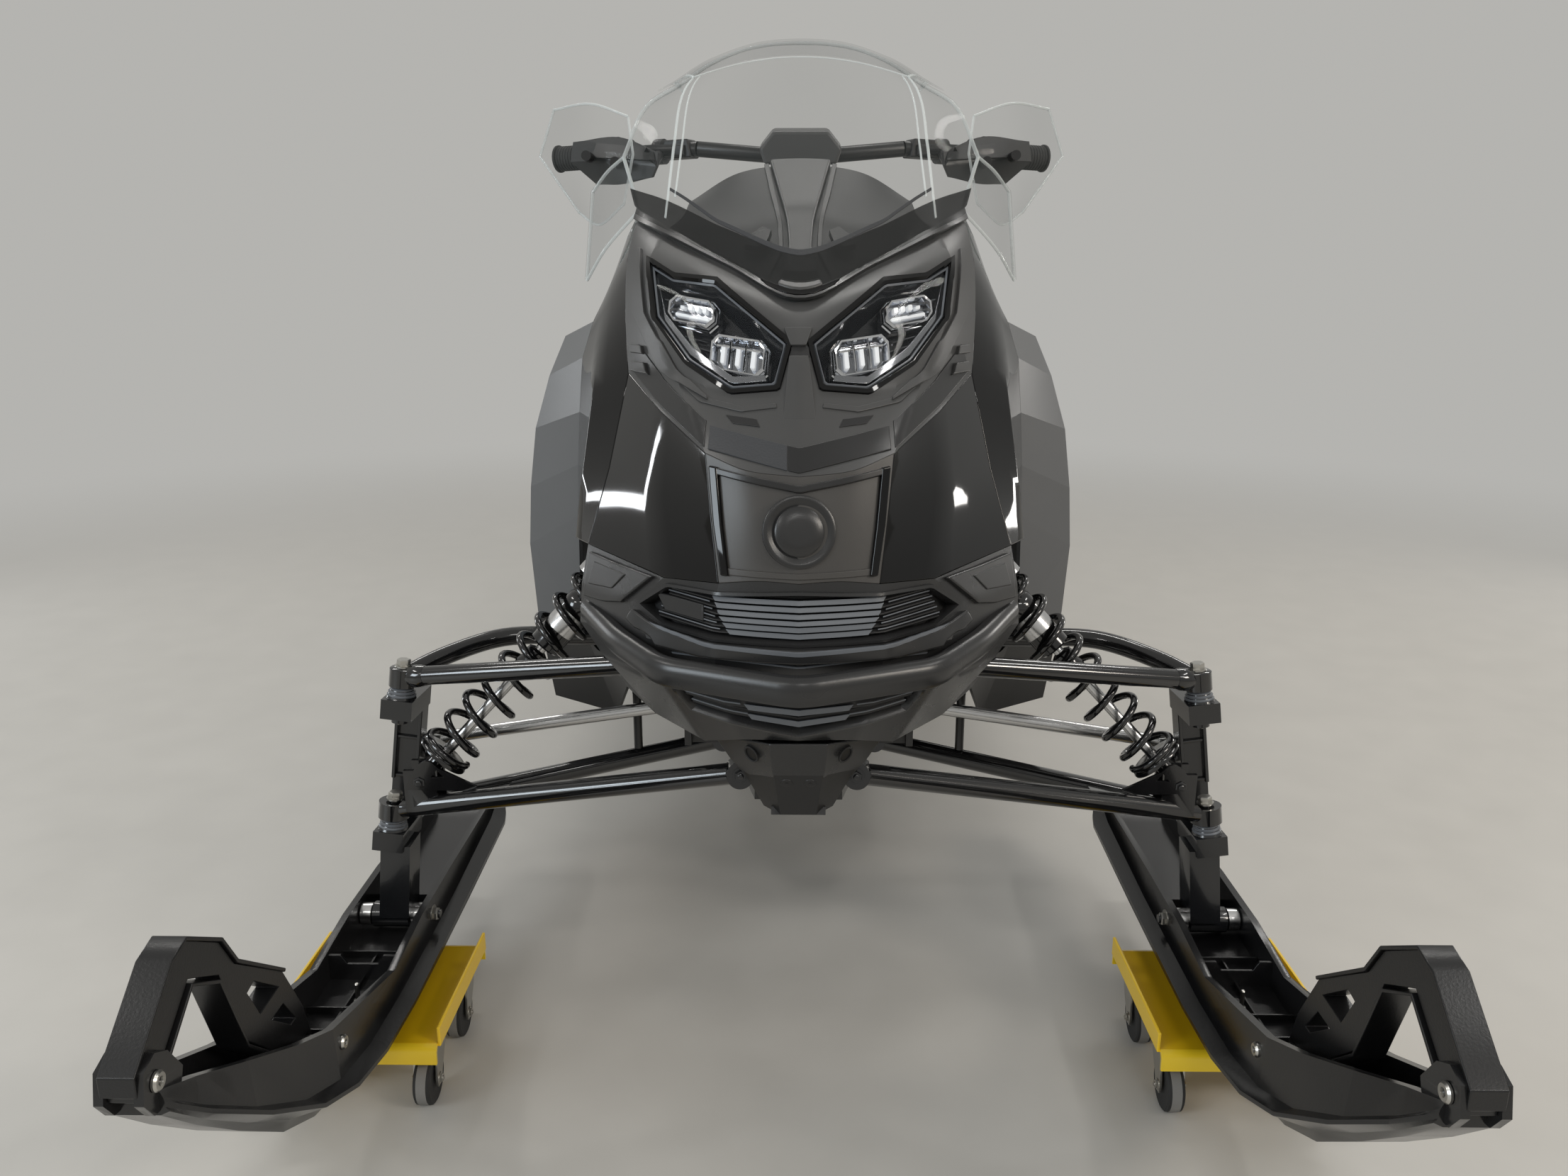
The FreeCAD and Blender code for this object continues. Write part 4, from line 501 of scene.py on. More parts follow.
# Front views of openings: out, up
HEADLAMP = ((172, 918), (141, 901), (92, 896), (11, 834), (23, 791), (72, 786), (122, 812), (162, 857))
UPPER_GRILLE = ((0, 600), (134, 592), (166, 566), (140, 554), (0, 551))
LOWER_GRILLE = ((0, 500), (132, 494), (112, 460), (0, 437))


def corner(name):
    if name.startswith("lap_"):
        top, low = corner(name[4:] + "0"), corner(name[4:] + "1")
        return top + (low - top) * 0.25
    out, behind, height = CORNERS[name]
    return P(out, behind, height + 750)


def table_grid(rows):
    return [[corner(name) for name in row.split()] for row in rows]


def sheet_part(grid):
    """Vertices and faces of a grid whose rows run outwards and down, facing outwards."""
    return reversed_faces(grid_mesh(grid))


# Places on a surface, found from the front, through a pixel of the photograph or by nearness

class Surface:
    def __init__(self, grid):
        verts, faces = grid_mesh(grid)
        self.tree = BVHTree.FromPolygons([tuple(v) for v in verts], faces)

    def toward(self, start, direction, lift, reach):
        place, normal, _, _ = self.tree.ray_cast(start, direction)
        if place is None:
            place, normal, _, _ = self.tree.find_nearest(start + direction * reach)
        if normal.dot(direction) > 0:
            normal = -normal
        return place + normal * lift

    def front(self, out, height, lift=0.0):
        return self.toward(P(out, -700, height), -FORE, lift, 0.43)

    def pixel(self, px, py, lift=0.0):
        return self.toward(EYE, ray(px, py), lift, 1.2)

    def nearest(self, point, lift):
        place, normal, _, _ = self.tree.find_nearest(point)
        return place + (-normal if normal.y > 0 else normal) * lift


def evenly(line, count):
    """count points at equal distances along a polyline in a plane."""
    lengths = [0.0]
    for a, b in zip(line, line[1:]):
        lengths.append(lengths[-1] + math.dist(a, b))
    made = []
    for k in range(count):
        want = lengths[-1] * k / (count - 1)
        i = max(j for j in range(len(line) - 1) if lengths[j] <= want + 1e-9)
        share = (want - lengths[i]) / max(1e-9, lengths[i + 1] - lengths[i])
        made.append(tuple(p + (q - p) * share for p, q in zip(line[i], line[i + 1])))
    return made


def inset(outline, distance):
    """A closed outline moved inwards with mitred corners; its points run either way round."""
    count = len(outline)
    area = sum(outline[i][0] * outline[(i + 1) % count][1] - outline[(i + 1) % count][0] * outline[i][1]
               for i in range(count))
    turn = 1 if area > 0 else -1
    made = []
    for i in range(count):
        a, b, c = (Vector(outline[j % count]) for j in (i - 1, i, i + 1))
        n1 = Vector((-(b - a).y, (b - a).x)).normalized() * turn
        n2 = Vector((-(c - b).y, (c - b).x)).normalized() * turn
        middle = (n1 + n2).normalized()
        made.append(tuple(b + middle * (distance / max(0.4, middle.dot(n1)))))
    return made


def ribbon(find, line_a, line_b, count, lift_a, lift_b, cross=3):
    """Strip of faces between two lines, laid on a surface by find(x, y, lift)."""
    pairs = list(zip(evenly(line_a, count), evenly(line_b, count)))
    return [[find(p[0] + (q[0] - p[0]) * t, p[1] + (q[1] - p[1]) * t, lift_a + (lift_b - lift_a) * t)
             for p, q in pairs] for t in (k / cross for k in range(cross + 1))]


def laid(name, find, line_a, line_b, mat, count, form, cross=3, mirrored=False, body="machine"):
    """Raised band between two lines on a surface; form is its lift, thickness and edge rounding in mm."""
    lift, thick, bevel = (size / 1000 for size in form)
    rows = ribbon(find, line_a, line_b, count, lift, lift, cross)
    part = grid_mesh(rows)
    a, b, c = rows[0][0], rows[0][1], rows[1][0]
    if (b - a).cross(c - a).y > 0:
        part = reversed_faces(part)
    return shell(name, both(part) if mirrored else part, mat, body, thick, bevel=bevel, sharp=30,
                 even=False)


def ring_rows(find, ring, outline, levels):
    """Closed rows round an outline, each a distance inwards and a lift; ring sets the count of points."""
    closed = list(ring) + [ring[0]]
    count = 1 + sum(max(1, math.ceil(math.dist(a, b) / 5)) for a, b in zip(closed, closed[1:]))
    rows = []
    for distance, lift in levels:
        line = inset(outline, distance)
        rows.append([find(x, y, lift) for x, y in evenly(line + [line[0]], count)])
    return rows


# Bodywork

fine_cowl = dense(whole(table_grid(COWL)), 12, 14, row_breaks=(3,), column_breaks=(1, 3, 5))
fine_badge = dense(whole(table_grid(BADGE)), 8, 10, column_breaks=(2,))
fine_fascia = dense(whole(table_grid(FASCIA)), 8, 8, row_breaks=(1, 2, 3), column_breaks=(1, 2, 4, 6, 7))
on_cowl, on_badge, on_fascia = Surface(fine_cowl), Surface(fine_badge), Surface(fine_fascia)


def front_cutter(outline, high):
    """Solid behind an outline of the front view, from in front of the panels back to high."""
    low = -480
    return prism([P(out, low, height) for out, height in outline], Vector((0, (high - low) / 1000, 0)))


lamp_cut = front_cutter(HEADLAMP, 120)
cowl = shell("cowl_shell", sheet_part(fine_cowl), "cowl", cutters=[lamp_cut, flipped(lamp_cut)], sharp=24)
stands_for(cowl, "headlight_cowl")

# Headlamps: gloss bezel, bright rim, dark bowl with a floor, clear lens and two modules in each
for name, mat, levels in (
        ("headlamp_bezels", "gloss", ((-3.8, -0.001), (-3, 0.0022), (1, 0.0024), (2.8, 0.0),
                                      (3.2, -0.010))),
        ("headlamp_rims", "slat", ((2.8, -0.0010), (3.8, 0.0002), (5.2, -0.0014))),
        ("headlamp_bowl_shells", "bowl", ((4, -0.0040), (7, -0.012), (10, -0.020), (16, -0.030)))):
    rows = ring_rows(on_cowl.front, inset(HEADLAMP, -3.8), HEADLAMP, levels)
    verts, faces = grid_mesh(rows)
    if mat == "bowl":
        faces.append(tuple(range(len(verts) - len(rows[0]), len(verts) - 1)))
    piece = new_object(name, both((verts, faces)), mat, sharp=40)
    if mat == "bowl":
        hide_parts("headlamp_bowls")
glass = inset(HEADLAMP, 6)
lens = laid("headlamp_glass", on_cowl.front, [glass[i] for i in (7, 0, 1, 2, 3)],
            [glass[i] for i in (7, 6, 5, 4, 3)],
            "lens", 22, (0, 1.6, 0), 8, True)
stands_for(lens, "headlamp_lenses")


def tilted(module, x, y):
    """Place in the front view, given in a module's own directions."""
    (x0, y0), _, _, tilt = module
    return x0 + x * math.cos(tilt) - y * math.sin(tilt), y0 + x * math.sin(tilt) + y * math.cos(tilt)


def ring_stack(module, levels, chamfer=8.0, closed=True):
    """Eight-cornered rings, each grown outside the module by a distance in mm and lifted off the cowl."""
    rings = []
    for grow, lift in levels:
        a, b, c = module[1] + grow, module[2] + grow, chamfer + grow * 0.4
        ring = ((a, c - b), (a, b - c), (a - c, b), (c - a, b), (-a, b - c), (-a, c - b), (c - a, -b),
                (a - c, -b))
        rings.append([on_cowl.front(*tilted(module, x, y), lift) for x, y in ring])
    verts, faces = loft(rings, caps=False)
    if closed:
        faces.append(tuple(reversed(range(len(verts) - len(ring), len(verts)))))
    return verts, faces


def cell(module, x, y, half_x, half_y, front, depth):
    """Small raised block inside a module."""
    small = (tilted(module, x, y), half_x, half_y, module[3])
    return ring_stack(small, ((0, front - depth), (0, front - 0.0008), (-0.6, front)), 1.2)


HIGH_MODULE = ((125, 869), 28, 14.5, math.radians(7))
LOW_MODULE = ((70, 826), 31, 18, math.radians(6))
module_frames, pits = [], []
for module in (HIGH_MODULE, LOW_MODULE):
    inner = ((0.6, -0.024), (0.6, -0.0105), (-0.6, -0.0092), (-2.2, -0.0098), (-3.2, -0.0150))
    outer = ((3.6, -0.026), (3.6, -0.0165), (2.6, -0.0155), (1.4, -0.0170))
    module_frames += [ring_stack(module, inner, closed=False), ring_stack(module, outer, closed=False)]
    pits.append(ring_stack(module, ((0.4, -0.0230), (-2.8, -0.0150), (-3.4, -0.0185))))
cells = [cell(HIGH_MODULE, x, 3.8, 2.9, 3.4, -0.0130, 0.005) for x in (-13.5, -4.5, 4.5, 13.5)]
cells.append(cell(HIGH_MODULE, 0, -5.6, 21, 1.9, -0.0125, 0.005))
cells += [cell(LOW_MODULE, x, 0.5, 2.6, 9.5, -0.0130, 0.005) for x in (-17.5, 0.0, 17.5)]
module_frames += [cell(LOW_MODULE, x, 0, 0.9, 14, -0.0115, 0.007) for x in (-8.8, 8.8)]
module_frames.append(cell(LOW_MODULE, 0, 8.0, 26, 0.8, -0.0118, 0.006))
for name, parts, mat in (("lamp_module_frames", module_frames, "chrome"),
                         ("lamp_module_pits", pits, "dim_chrome"),
                         ("lamp_module_cells", cells, "lamp")):
    new_object(name, both(joined(parts)), mat, sharp=30)
ribs = []
for k in range(7):
    x, y = 158 - 6.5 * k, 880 - 9.5 * k
    ribs.append(grid_mesh(ribbon(on_cowl.front, [(x, y), (x - 26, y - 5)],
                                 [(x, y - 1.6), (x - 26, y - 6.6)],
                                 5, -0.0105, -0.0135, 1)))
shell("lamp_bowl_ribs", both(joined(ribs)), "dim_chrome", thick=0.0012, bevel=0, sharp=30, even=False)
laid("lamp_chrome_strips", on_cowl.front, [(170, 904), (160, 862), (124, 822), (74, 796), (36, 800)],
     [(164, 903), (154, 864), (119, 829), (73, 803), (38, 806)], "dim_chrome", 40, (-6.2, 3, 0.6), 3, True)


# Centre ridge with the slot over it, the beak band and the small marks of the cowl

def fading(px, py, lift):
    """A raised place on the cowl that sinks into it towards the ridge's lower end."""
    return on_cowl.pixel(px, py, lift * min(1.0, (594 - py) / 80))


laid("cowl_throat", on_cowl.pixel, [(1106, 464), (1116, 489)], [(1146, 464), (1137, 489)], "cowl", 8,
     (3.5, 6, 1.2), 5)
laid("ridge_slot", on_cowl.pixel, [(1116, 490), (1116, 504)], [(1142, 490), (1142, 504)], "black", 4,
     (1.2, 3, 0.8))
laid("cowl_ridge", fading, [(1114, 504), (1109, 545), (1104, 592)], [(1140, 504), (1146, 545), (1152, 592)],
     "cowl",
     24, (3.6, 6, 1.4), 6)
laid("beak_band", on_cowl.front, [(-12, 739), (-91, 754)], [(-12, 717.5), (-91.5, 734.5)], "texture", 24,
     (1.2, 4, 0.8))
laid("beak_band_plain", on_cowl.front, [(-11, 739), (0, 737), (91, 754)],
     [(-11, 717.5), (0, 715.5), (91.5, 734.5)],
     "chamfer", 32, (1.2, 4, 0.8))
laid("cowl_chamfers", on_cowl.front, [(95.5, 758), (148, 792), (184, 826)],
     [(95.5, 736), (150, 766), (194, 796)],
     "chamfer", 24, (1.2, 4, 0.8), 4, True)
laid("lamp_cheek_bands", on_cowl.front, [(185, 931), (174, 860), (132, 803), (96, 778)],
     [(190, 932), (192, 862), (152, 799), (96, 775.5)], "cowl", 30, (3.6, 6, 1.8), 4, True)
laid("cowl_dents", on_cowl.pixel, [(1184, 603), (1222, 598)], [(1189, 592), (1232, 586)], "chamfer", 6,
     (0.8, 3, 0.3),
     3, True)
laid("cowl_creases", on_cowl.front, [(24, 776), (60, 772), (104, 780), (140, 806)],
     [(23, 772), (60, 767), (105, 774), (142, 800)], "cowl", 36, (1.4, 3, 1.0), 3, True)
laid("cowl_tooth_0", on_cowl.pixel, [(894, 486), (908, 488)], [(893, 498), (910, 500)], "cowl", 6,
     (5, 8, 1.4), 3, True)
laid("cowl_tooth_1", on_cowl.pixel, [(894, 510), (912, 512)], [(893, 526), (917, 530)], "cowl", 6,
     (5, 8, 1.4), 3, True)

stands_for(shell("badge_panel", sheet_part(fine_badge), "badge"), "badge_plate")
laid("badge_rails", on_badge.front, [(80, 719), (75, 664), (69, 615)], [(89, 720), (84, 664), (77, 615)],
     "gloss",
     16, (5.2, 7, 2), 3, True)
laid("badge_lip", on_badge.front, [(-85, 719), (0, 704), (85, 719)], [(-84, 712), (0, 697), (84, 712)],
     "chamfer",
     40, (4, 6, 1.4))
laid("badge_sill", on_badge.front, [(-74, 623), (0, 621), (74, 623)], [(-73, 616), (0, 615), (73, 616)],
     "badge",
     30, (1.6, 4, 1))
disc_place = on_badge.front(0, 661)
disc_axis = on_badge.front(0, 661, 0.001) - disc_place
new_object("badge_disc", joined([
    turned([(36, -8), (36, 1.6), (34, 2.6), (31, 2.2), (26, -0.6), (25, -0.8)], 64, disc_place, disc_axis),
    turned([(24.5, -6), (24.5, 2.2), (23, 3.6), (12, 4.4), (3, 4.7)], 64, disc_place, disc_axis)]), "satin",
           sharp=40)

cheek_grid = dense(table_grid(CHEEK), 5, 5, row_breaks=(1,), column_breaks=(1,))
stands_for(shell("cheek_panels", both(sheet_part(cheek_grid)), "gloss", bevel=0.0016), "gloss_cheeks")
side_grid = dense(table_grid(SIDE_PANEL), 3, 3, row_breaks=(1, 2, 3, 4), column_breaks=(1,))
stands_for(shell("tall_side_panels", both(sheet_part(side_grid)), "gloss", bevel=0.0016), "side_panels")


# Fascia with its two grilles, the ledge over the bumper and the chin

def across(outline):
    return list(outline) + [(-out, height) for out, height in reversed(outline) if out > 0]


OPENINGS = (across(UPPER_GRILLE), across(LOWER_GRILLE))
fascia = shell("fascia_shell", sheet_part(fine_fascia), "satin", bevel=0.0014, sharp=22,
               cutters=[front_cutter(outline, 40) for outline in OPENINGS])
stands_for(fascia, "nose_fascia")

BAR_SECTION = ((-1, -0.003), (-0.4, -0.002), (1, -0.0072), (1, -0.015), (-1, -0.015))
GRILLES = (
    # bars, upper and lower edge, a bar's half height, half width of the light face at the top and bottom bar
    (6, [(-134, 595), (0, 595), (134, 595)], [(-152, 558), (0, 553), (152, 558)], 2.8, 88, 72),
    (3, [(-132, 495), (0, 494), (132, 495)], [(-112, 462), (0, 441), (112, 462)], 3.6, 60, 50),
)
slats, light_faces = [], []
for count, top, low, half_height, wide, narrow in GRILLES:
    for i in range(count):
        t = (i + 0.5) / count
        line = [((x0 + (x1 - x0) * t) * 0.985, y0 + (y1 - y0) * t) for (x0, y0), (x1, y1) in zip(top, low)]
        slats.append(loft([[on_fascia.front(x, y + half_height * up_by, lift) for up_by,
                            lift in BAR_SECTION]
                           for x, y in evenly(line, 31)]))
        near = wide + (narrow - wide) * i / (count - 1)
        rise = half_height * 0.85
        points = evenly(line, 61)
        middle = [p for p in points if abs(p[0]) < near]
        light_faces.append(grid_mesh(ribbon(
            on_fascia.front, [(x * (near + 5) / near, y + rise) for x, y in middle],
            [(x, y - rise) for x, y in middle],
            25, -0.0034, -0.0014, 2)))
        for side in (-1, 1):
            thin = [(x, y + rise) for x, y in points if x * side > near + 3]
            light_faces.append(grid_mesh(ribbon(on_fascia.front, thin, [(x, y - 1.1) for x, y in thin], 8,
                                                -0.0034, -0.0026, 1)))
stands_for(new_object("grille_bars", joined(slats), "black", sharp=30, bevel=0.0007), "grille_slats")
shell("grille_bar_faces", joined(light_faces), "slat", thick=0.0012, bevel=0.0004, sharp=30, even=False)
backing = [grid_mesh(ribbon(on_fascia.front, top, low, 30, -0.016, -0.016, 4))
           for top, low in (([(-176, 602), (0, 608), (176, 602)], [(-176, 546), (0, 544), (176, 546)]),
                            ([(-142, 500), (0, 508), (142, 500)], [(-142, 448), (0, 430), (142, 448)]))]
shell("grille_backing", joined(backing), "black", thick=0.003, bevel=0, sharp=30, even=False)
FRAME_LEVELS = ((-4.5, -0.001), (-3.6, 0.0032), (-0.6, 0.0036), (0.8, 0.0), (1.2, -0.012))
grille_frames = [sheet_part(ring_rows(on_fascia.front, outline, outline, FRAME_LEVELS))
                 for outline in OPENINGS]
new_object("grille_frames", joined(grille_frames), "satin", sharp=35)
laid("grille_end_block", on_fascia.front, [(-150, 583), (-97, 583)], [(-140, 566), (-97, 566)], "satin",
     10, (-0.5, 14, 1.6))
laid("grille_ledge", on_fascia.front, [(-172, 559), (-140, 549), (0, 547), (140, 549), (172, 559)],
     [(-178, 547), (-144, 533), (0, 531), (144, 533), (178, 547)], "satin", 60, (10, 15, 3))
laid("ledge_face", on_fascia.front, [(-150, 551.5), (0, 545.5), (150, 551.5)],
     [(-138, 547.5), (0, 540.5), (138, 547.5)],
     "slat", 50, (10.8, 3, 0.8))
laid("intake_edges", on_fascia.pixel, [(948, 919), (1127, 941), (1308, 919)],
     [(950, 921.5), (1127, 943.5), (1306, 921.5)], "slat", 40, (1.6, 3, 0.5))
laid("fascia_shoulders", on_fascia.front, [(150, 598), (196, 597), (236, 598)],
     [(190, 560), (214, 552), (243, 548)],
     "satin", 16, (5.5, 8, 2.6), 5, True)
laid("shoulder_insets", on_fascia.front, [(182, 590), (226, 590)], [(200, 570), (234, 564)], "chamfer", 10,
     (6.8, 6, 1.4), 4, True)


def bent(points, radius, steps=6):
    """Straight runs with a rounded bend at each inner point."""
    made = [points[0]]
    for a, b, c in zip(points, points[1:], points[2:]):
        start, end = b + (a - b).normalized() * radius, b + (c - b).normalized() * radius
        made += [start.lerp(b, t).lerp(b.lerp(end, t), t) for t in (k / steps for k in range(steps + 1))]
    return made + [points[-1]]


bumper_half = [P(243, -104, 531), P(196, -198, 522), P(140, -274, 514), P(0, -334, 513)]
bumper_line = bent([flip(p) for p in bumper_half[:-1]] + list(reversed(bumper_half)), 0.020)
PROFILE = ((-9, -13), (-3, -15.5), (4, -15.5), (9, -8), (9.6, 2), (8, 9), (4, 14.5), (-3, 15.5), (-9, 13))
bumper_rings = []
for i, middle in enumerate(bumper_line):
    run = run_at(bumper_line, i)
    out = Vector((run.y, -run.x, 0)).normalized()
    out = -out if out.y > 0 else out
    taper = 1 - 0.12 * min(1, abs(middle.x) / 0.25) ** 4
    bumper_rings.append([middle + out * (a / 1000) + RISE * (b / 1000 * taper) for a, b in PROFILE])
stands_for(new_object("bumper_bar", loft(bumper_rings), "satin", sharp=50, bevel=0.0012), "front_bumper")

# Knee panels, belly, skid plate and the machine's rear keep their CAD faces with rounded edges
for node, name, mat, slot in (("side_covers", "knee_panels", "knee", "knee_grey"),
                              ("belly_pan", "belly_panels", "black", "black_plastic"),
                              ("skid_plate", "skid_plate_piece", "black", "black_plastic"),
                              ("tank_cover", "tank_cover_piece", "cowl", "cowl_plastic"),
                              ("running_boards", "foot_boards", "dull_steel", "black_steel"),
                              ("rear_rack", "luggage_rack", "dull_steel", "black_steel"),
                              ("snow_flap", "flap_sheet", "rubber", "rubber"),
                              ("tail_lamp", "tail_lamp_lens", "red", "tail_red"),
                              ("bulkhead_frame", "front_frame", "dull_steel", "black_steel"),
                              ("skid_arms", "track_arms", "dull_steel", "black_steel"),
                              ("slide_rails", "track_rails", "alloy", "tunnel_alloy"),
                              ("engine_block", "engine_case", "engine", "engine_metal"),
                              ("sway_bar", "sway_bar_rod", "dull_steel", "black_steel"),
                              ("tunnel", "tunnel_sheet", "alloy", "tunnel_alloy")):
    copy_node(node, name, mat, "machine", sharp=25)

PLATE = ((P(94, -168, 404), P(30, -236, 421)), (P(76, -160, 372), P(27, -214, 380)),
         (P(44, -154, 330), P(21, -184, 334)))
shell("skid_plate_front", sheet_part([[a, b, flip(b), flip(a)] for a, b in PLATE]), "satin", thick=0.003,
      bevel=0.0016, sharp=12, segments=3)
for tag, side in (("right", -1), ("left", 1)):
    place, axis = P(side * 13, -205, 362), Vector((0, -0.88, -0.47))
    new_object("skid_bolt_" + tag, joined([turned([(7.5, 0), (7.5, 1.2), (6.5, 2.6), (3, 3.0)], 32, place,
                                                  axis),
                                           turned([(2.2, 2.2), (2.2, 3.4), (1.6, 3.5)], 6, place, axis)]),
               "black", sharp=40)
    new_object("skid_hole_" + tag, turned([(10.5, 0), (10.5, 1.6), (9.4, 2.0), (8.2, 1.4), (8.0, -0.4)], 36,
                                          P(side * 51, -209.5, 397), Vector((side * 0.66, -0.70, -0.28))),
               "black", sharp=40)


# Console with its spine and vents, and the clear screens

def sampled(grid, row, column):
    """Point of a grid at a fractional row and column."""
    r = min(len(grid) - 1.001, max(0.0, row))
    c = min(len(grid[0]) - 1.001, max(0.0, column))
    i, j = int(r), int(c)
    a, b = (line[j].lerp(line[j + 1], c - j) for line in grid[i:i + 2])
    return a.lerp(b, r - i)


fine_console = dense(whole(table_grid(CONSOLE)), 10, 10)
on_console = Surface(fine_console)
stands_for(shell("console_shell", sheet_part(fine_console), "black", bevel=0.0016), "console")


def over_console(x, y, lift):
    """x is out in mm and y the share of the way down the console."""
    last, half = len(fine_console) - 1, (len(fine_console[0]) - 1) / 2
    row = min(last - 0.001, max(0.0, y * last))
    reach = fine_console[int(row)][-1].x * 1000
    return on_console.nearest(sampled(fine_console, row, half + x / reach * half), lift)


spine_line = [(-34, 0.0), (-26, 0.25), (-16, 0.5), (-13, 0.7), (-24, 1.0)]
laid("console_spine", over_console, spine_line, [(-x, y) for x, y in spine_line], "cowl", 40, (10, 12, 3),
     6)
laid("console_curves", over_console, [(36, 0.0), (30, 0.25), (22, 0.5), (20, 0.7), (36, 0.98)],
     [(41, 0.0), (36, 0.25), (27, 0.5), (25, 0.7), (42, 0.98)], "cowl", 40, (4, 6, 1.4), 3, True)
laid("console_vents", over_console, [(34, 0.62), (46, 0.60), (58, 0.70), (64, 0.82)],
     [(34, 0.62), (38, 0.72), (50, 0.80), (64, 0.82)], "satin", 14, (5, 7, 1.6), 4, True)
laid("console_vent_slots", over_console, [(41, 0.645), (50, 0.665), (57, 0.745)],
     [(40, 0.665), (47, 0.725), (56, 0.765)], "black", 10, (6.2, 4, 0.5), 2, True)

fine_screen = dense(whole(table_grid(SCREEN)), 8, 10, row_breaks=(2, 3))
on_screen = Surface(fine_screen)


def outwards(part, thickness):
    """Sheet moved outwards by its thickness, so that a wall given inwards ends on it."""
    helper = raw_object("moved", part)
    helper.data.update()
    moved = [Vector(v) + vert.normal * thickness for v, vert in zip(part[0], helper.data.vertices)]
    dropped(helper)
    return moved, part[1]


def edge_lines(grid, forward=0.0):
    """The upper, lower, outer and inner edge of a grid, moved forwards."""
    lines = (grid[0], grid[-1], [row[-1] for row in grid], [row[0] for row in grid])
    return [[point + FORE * forward for point in line] for line in lines]


def screen_at(column, row, lift):
    """Point of the screen: column from -1 to 1 across, row counted down the table."""
    rows, columns = len(fine_screen) - 1, len(fine_screen[0]) - 1
    return on_screen.nearest(sampled(fine_screen, row * rows / (len(SCREEN) - 1),
                                     (column + 1) / 2 * columns), lift)


def screen_band(name, line_a, line_b, mat, lift, thick, count=50, cross=3):
    laid("windshield_" + name, screen_at, line_a, line_b, mat, count, (lift, thick, 0.6), cross)


screen = shell("windshield_sheet", outwards(sheet_part(fine_screen), 0.004), "clear", thick=0.004,
               bevel=0.0008)
stands_for(screen, "windshield")
# The rim tubes wear the pale edge tint, a painted glint
top_edge, _, side_edge, _ = edge_lines(fine_screen, 0.002)
side_tube = tube_mesh(side_edge, 0.0024, 8)
new_object("windshield_edges", joined([tube_mesh(top_edge, 0.0021, 8), side_tube, flipped(side_tube)]),
           "edge", sharp=60)
screen_band("flange", [(-1, 0.0), (0, 0.0), (1, 0.0)], [(-1, 0.55), (0, 0.62), (1, 0.55)], "clear", 6.2,
            1.5)
# Pale line in the edge tint along the flange: painted glint
screen_band("flange_line", [(-0.68, 0.60), (0, 0.67), (0.68, 0.60)],
            [(-0.68, 0.64), (0, 0.71), (0.68, 0.64)], "edge",
            6.6, 1.6)
screen_band("border", [(-1, 2.62), (-0.4, 2.72), (0, 2.74), (0.4, 2.72), (1, 2.62)],
            [(-1, 3.55), (-0.4, 3.55), (0, 3.55), (0.4, 3.55), (1, 3.55)], "smoke", 5.8, 1.4, cross=6)
screen_band("trim", [(-1, 3.55), (0, 3.55), (1, 3.55)], [(-1, 3.98), (0, 3.98), (1, 3.98)], "satin", 6.6, 4)
screen_band("tab", [(-0.17, 2.98), (0.17, 2.98)], [(-0.15, 3.5), (0.15, 3.5)], "gloss", 7.2, 3, count=8)
# Bend and wing lines in the edge tint: painted glint where the sheet bends
for tag, side in (("left", 1), ("right", -1)):
    for name, line_a, line_b, lift, thick in (
            ("bend_", [(0.660, 0.6), (0.660, 2.0), (0.660, 2.9)],
             [(0.674, 0.6), (0.674, 2.0), (0.674, 2.9)], 6.2, 1.8),
            ("bend_inner_", [(0.615, 0.66), (0.615, 2.0), (0.62, 2.6)],
             [(0.625, 0.66), (0.625, 2.0), (0.63, 2.6)],
             6.0, 1.8),
            ("wing_top_", [(0.99, 0.08), (0.84, 0.20), (0.68, 0.56)],
             [(0.99, 0.16), (0.84, 0.28), (0.66, 0.64)],
             6.2, 2)):
        screen_band(name + tag, *([(side * x, y) for x, y in line] for line in (line_a, line_b)), "edge",
                    lift, thick)
screen_band("border_line", [(-0.66, 2.50), (-0.4, 2.66), (0.0, 2.72), (0.4, 2.66), (0.66, 2.50)],
            [(-0.66, 2.54), (-0.4, 2.70), (0.0, 2.76), (0.4, 2.70), (0.66, 2.54)], "texture", 6.0, 1.2)

fine_deflector = dense(table_grid(DEFLECTOR), 8, 6)
deflectors = shell("deflector_sheets", both(outwards(sheet_part(fine_deflector), 0.004)), "clear",
                   thick=0.004,
                   bevel=0.0008)
stands_for(deflectors, "side_deflectors")
# Deflector rims in the edge tint: painted glint
new_object("deflector_edges", both(joined([tube_mesh(line, 0.0021, 8)
                                           for line in edge_lines(fine_deflector, 0.002)])),
           "edge", sharp=60)

# Hand guards and their screens ride on the bar
fine_guard = dense(table_grid(HAND_GUARD), 6, 8, row_breaks=(1,))
guards = shell("hand_guard_shells", both(sheet_part(fine_guard)), "guard", body="handlebar", thick=0.005,
               bevel=0.0016)
laid("hand_guard_panels", Surface(fine_guard).pixel, [(1326, 212), (1416, 202)], [(1334, 227), (1424, 223)],
     "chamfer",
     10, (1.2, 3, 0.6), 3, True, body="handlebar")
fine_hand = dense(table_grid(HAND_SCREEN), 6, 8, row_breaks=(1,))
hand_screens = shell("hand_screen_sheets", both(outwards(sheet_part(fine_hand), 0.003)), "clear",
                     body="handlebar",
                     thick=0.003, bevel=0.0007)
stands_for(hand_screens, "hand_screens")
# Hand screen rims in the edge tint: painted glint
new_object("hand_screen_edges", both(joined([tube_mesh(line, 0.0019, 8)
                                             for line in edge_lines(fine_hand)])), "edge",
           body="handlebar", sharp=60)
copy_node("hand_guards", "hand_guard_mounts", "black", "handlebar", bevel=0.0008)

